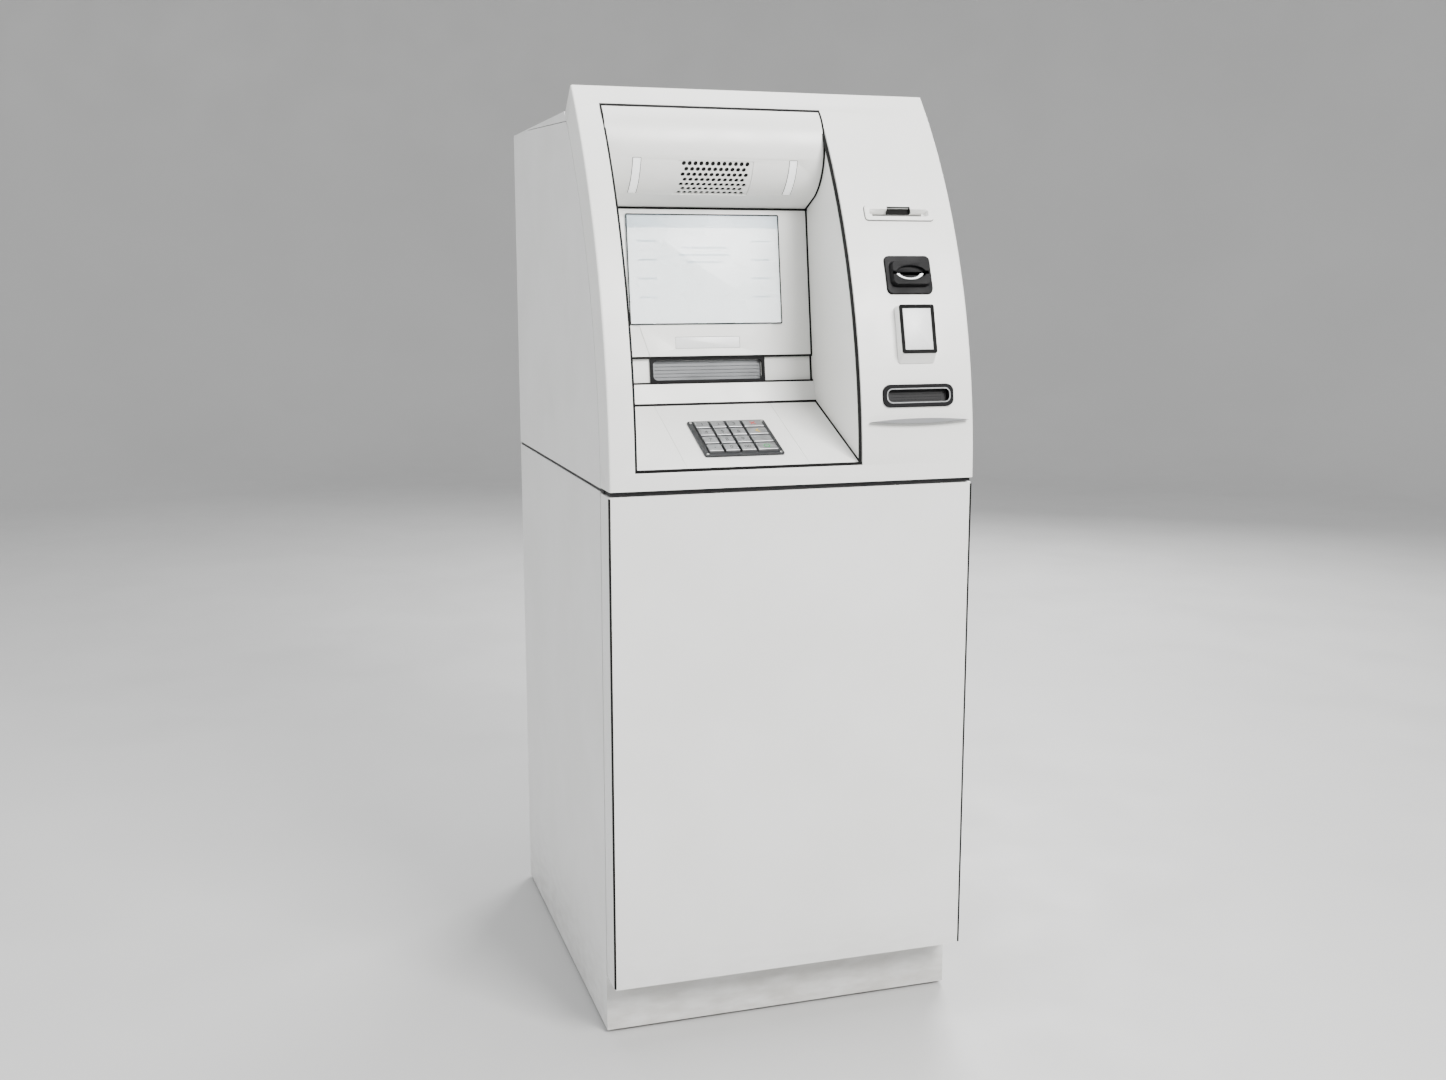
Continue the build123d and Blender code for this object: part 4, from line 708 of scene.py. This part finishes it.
def buildReader():
    # contactless reader: black rim and pale face
    up = facing(heights["reader"])
    pad = spans("contactless_pad", up)
    middle, face = sum(pad[0]) / 2, pad[2][1]
    centre = onFront(heights["reader"])[0] + readerSizes["rise"]
    half, tall = readerSizes["rim"]
    rim = bmesh.new()
    ringPlate(rim, boxed(middle, half), boxed(centre, tall), (face - 0.0004, face + 0.0008),
              readerSizes["rimWidth"], readerSizes["rimCorner"])
    addPiece("padRim", rim, "fascia", ["rubber"], up)
    half, tall = readerSizes["face"]
    pane = bmesh.new()
    plate(pane, boxed(middle, half), boxed(centre, tall), (face - 0.0012, face - 0.0002), corner=0.0018,
          edge=0.0003)
    addPiece("padFace", pane, "fascia", ["padWhite"], up)


def buildCardLip():
    # pale lip round the lower half of the card slot's scoop, turned round and then flattened
    up = facing(heights["card"])
    along, out = onFront(heights["card"])
    middle = sum(spans("card_bezel", up)[0]) / 2
    lip = bmesh.new()
    flat = lip.faces.new([lip.verts.new((radius, 0, height)) for radius, height in lipSizes["profile"]])
    bmesh.ops.rotate(lip, verts=lip.verts, cent=(0, 0, 0),
                     matrix=Matrix.Rotation(radians(lipSizes["from"]), 3, "Z"))
    bmesh.ops.spin(lip, geom=[flat], axis=(0, 0, 1), cent=(0, 0, 0), steps=40, use_merge=False,
                   angle=radians(lipSizes["sweep"]), use_duplicate=False)
    bmesh.ops.scale(lip, vec=(lipSizes["half"], lipSizes["drop"], 1), verts=lip.verts)
    bmesh.ops.translate(lip, vec=(middle - lipSizes["shift"], along, out), verts=lip.verts)
    addPiece("cardLip", lip, "fascia", ["lamp_lens"], up)


def buildReceiptWell():
    # dark lining of the receipt outlet's notch
    up = facing(heights["receipt"])
    along, out = onFront(heights["receipt"])
    middle = sum(spans("receipt_bezel", up)[0]) / 2
    half, skin = wellSizes["half"], wellSizes["skin"]
    rise = [along + reach for reach in wellSizes["rise"]]
    floor, top = out - wellSizes["floor"], out + wellSizes["top"]
    well = bmesh.new()
    plate(well, boxed(middle, half), rise, (floor, floor + 0.0004))
    plate(well, (middle - half, middle - half + skin), rise, (floor, top))
    plate(well, (middle + half - skin, middle + half), rise, (floor, top))
    plate(well, boxed(middle, half), (rise[1] - skin, rise[1]), (floor, top))
    addPiece("receiptWell", well, "fascia", ["rubber"], up)


def buildSeals():
    # thin seals round the fittings, and a grey lip round the deposit mouth
    middle = sum(spans("receipt_bezel", facing(heights["receipt"]))[0]) / 2
    for key, (width, height, corner) in bezelSizes.items():
        up = facing(heights[key])
        along, out = onFront(heights[key])
        reach = sealSizes["reach"]
        seal = bmesh.new()
        ringPlate(seal, boxed(middle, width / 2 + reach), boxed(along, height / 2 + reach),
                  (out - sealSizes["depth"], out + sealSizes["proud"]), sealSizes["width"], corner)
        addPiece(key + "Seal", seal, "fascia", ["rubber"], up)
    width, height, corner = bezelSizes["deposit"]
    up = facing(heights["deposit"])
    along, inset = onFront(heights["deposit"])[0], sealSizes["lipInset"]
    face = spans("deposit_bezel", up)[2][1]
    lip = bmesh.new()
    ringPlate(lip, boxed(middle, width / 2 - inset), boxed(along, height / 2 - inset),
              boxed(face, sealSizes["lipProud"]), sealSizes["lipWidth"], corner - 0.003)
    addPiece("depositLip", lip, "fascia", ["keypad_metal"], up)


buildReader()
buildCardLip()
buildReceiptWell()
buildSeals()
print("column fitted")

screwSizes = {"head": 0.0036, "high": 0.0012, "small": 0.0022}
screwRows = {"cabinet": (0.11, 0.29, 0.47, 0.65, 0.81), "head": (0.87, 1.03, 1.19, 1.35),
             "cover": (-0.04, 0.09, 0.22, 0.34)}
screwInsets = {"cabinet": 0.009, "head": 0.013, "cover": 0.012, "keypad": 0.005}
coverTop, flangeDepth = 1.383, 0.018


def screwHeads(name, places, outward, body, head):
    # domed heads with a round recess, each standing on its place
    high = screwSizes["high"]
    screws = bmesh.new()
    profile = [(0, high * 0.3), (head * 0.38, high * 0.3), (head * 0.42, high), (head * 0.75, high * 0.85),
               (head, high * 0.15), (head, 0), (0, 0)]
    for place in places:
        turnedShape(screws, profile, place, outward, steps=20)
    addPiece(name, screws, body, ["bare_steel"])


def buildScrews():
    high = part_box("right_side_panel")[1]
    backwards, head = Vector((0, 1, 0)), screwSizes["head"]
    edge = high.x - screwInsets["cabinet"]
    screwHeads("cabinetScrews", [(side * edge, high.y, z) for side in (-1, 1) for z in screwRows["cabinet"]],
               backwards, "cabinet", head)
    edge, flange = high.x - screwInsets["head"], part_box("rear_door")[0].y + flangeDepth
    screwHeads("headScrews", [(side * edge, flange, z) for side in (-1, 1) for z in screwRows["head"]],
               backwards, "cabinet", head)
    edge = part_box("top_cover")[1].x - screwInsets["cover"]
    screwHeads("coverScrews", [(side * edge, y, coverTop) for side in (-1, 1) for y in screwRows["cover"]],
               upright, "cabinet", head)
    x, s, n = spans("keypad_frame", shelfUp)
    inset, place = screwInsets["keypad"], turned(shelfUp)
    corners = [place @ Vector((column, row, n[1])) for column in (x[0] + inset, x[1] - inset)
               for row in (s[0] + inset, s[1] - inset)]
    screwHeads("keypadScrews", corners, across.cross(shelfUp), "fascia", screwSizes["small"])


buildScrews()

dialSizes = {"flange": 0.015, "rim": 0.033, "ticks": 50, "long": 0.005, "short": 0.003, "half": 0.0003,
             "thick": 0.0003, "digit": 0.0065, "ring": 0.0235}


def turnMark(part, turn, whole):
    bmesh.ops.rotate(part, verts=part.verts, cent=(0, 0, 0), matrix=Matrix.Rotation(turn, 3, "Z"))
    pour(part, whole)


def buildDial():
    # ticks and tens round the safe's dial, made flat and then stood up facing backwards
    low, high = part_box("combination_dial")
    rim, half = dialSizes["rim"], dialSizes["half"]
    marks = bmesh.new()
    for tick in range(dialSizes["ticks"]):
        length = dialSizes["short"] if tick % 5 else dialSizes["long"]
        part = bmesh.new()
        plate(part, (-half, half), (rim - length, rim), (0, dialSizes["thick"]))
        turnMark(part, tick * 2 * pi / dialSizes["ticks"], marks)
    for ten in range(10):
        part = lettered(str(ten * 10), dialSizes["digit"], (0, dialSizes["ring"]), dialSizes["thick"] / 2)
        turnMark(part, ten * pi / 5, marks)
    bmesh.ops.rotate(marks, verts=marks.verts, cent=(0, 0, 0),
                     matrix=Matrix(((-1, 0, 0), (0, 0, 1), (0, 1, 0))))
    place = ((low.x + high.x) / 2, low.y + dialSizes["flange"], (low.z + high.z) / 2)
    bmesh.ops.translate(marks, vec=place, verts=marks.verts)
    addPiece("dialMarks", marks, "combination_dial", ["legendWhite"])


buildDial()
print("fittings made")

# every node that still shows takes its slot's finish
for name, node in nodes.items():
    node.data.materials.clear()
    node.data.materials.append(finishes[slotOf[name]])
print("nodes coated", len(nodes))

studio = {"floor": 6.0, "sweep": 2.5, "wall": 3.0, "world": (0.88, 0.89, 0.91), "worldStrength": 0.85}


def buildStage():
    # round pale floor that sweeps up into a wall
    bm = bmesh.new()
    reach, sweep = studio["floor"], studio["sweep"]
    bend = [(reach + sweep * sin(step * pi / 24), sweep * (1 - cos(step * pi / 24))) for step in range(13)]
    turnedShape(bm, [(0, 0)] + bend + [(reach + sweep, sweep + studio["wall"])], (0, 0, 0), steps=96)
    bmesh.ops.recalc_face_normals(bm, faces=bm.faces)
    bmesh.ops.reverse_faces(bm, faces=bm.faces)
    mesh = bpy.data.meshes.new("floorSweep")
    bm.to_mesh(mesh)
    bm.free()
    mesh.shade_smooth()
    mesh.materials.append(finishes["floorCoat"])
    floor = bpy.data.objects.new("floorSweep", mesh)
    bpy.context.scene.collection.objects.link(floor)
    world = bpy.data.worlds.new("studio")
    world.use_nodes = True
    backing = world.node_tree.nodes["Background"]
    backing.inputs["Color"].default_value = (*studio["world"], 1)
    backing.inputs["Strength"].default_value = studio["worldStrength"]
    bpy.context.scene.world = world


def addLight(name, place, aim, size, power, colour=(1, 1, 1)):
    lamp = bpy.data.lights.new(name, "AREA")
    lamp.shape = "RECTANGLE"
    lamp.size, lamp.size_y = size
    lamp.energy = power
    lamp.color = colour
    holder = bpy.data.objects.new(name, lamp)
    holder.location = place
    holder.rotation_euler = (Vector(aim) - Vector(place)).to_track_quat("-Z", "Y").to_euler()
    bpy.context.scene.collection.objects.link(holder)


lights = {
    "keyLight": dict(place=(1.2, -3.4, 3.2), aim=(0, 0, 0.8), size=(1.6, 1.6), power=330,
                     colour=(1.0, 0.99, 0.975)),
    "sideLight": dict(place=(-3.4, -1.2, 2.2), aim=(0, 0, 0.8), size=(1.6, 1.6), power=60,
                      colour=(0.97, 0.985, 1.0)),
    "topLight": dict(place=(0.2, 0.4, 4.0), aim=(0, 0, 0.9), size=(2.4, 2.4), power=110),
    "backLight": dict(place=(2.2, 3.2, 2.6), aim=(0, 0, 0.9), size=(1.8, 1.8), power=190),
}
buildStage()
for name, values in lights.items():
    addLight(name, **values)

cameraSettings = {"place": (-0.7614, -2.4141, 1.1461), "yaw": 17.425, "pitch": 9.956, "lens": 38.04}
lens = bpy.data.cameras.new("camera")
lens.lens = cameraSettings["lens"]
lens.sensor_width = 36.0
camera = bpy.data.objects.new("camera", lens)
camera.location = cameraSettings["place"]
camera.rotation_euler = (radians(90 - cameraSettings["pitch"]), 0, -radians(cameraSettings["yaw"]))
bpy.context.scene.collection.objects.link(camera)
bpy.context.scene.camera = camera
print("stage set")

bpy.context.view_layer.update()
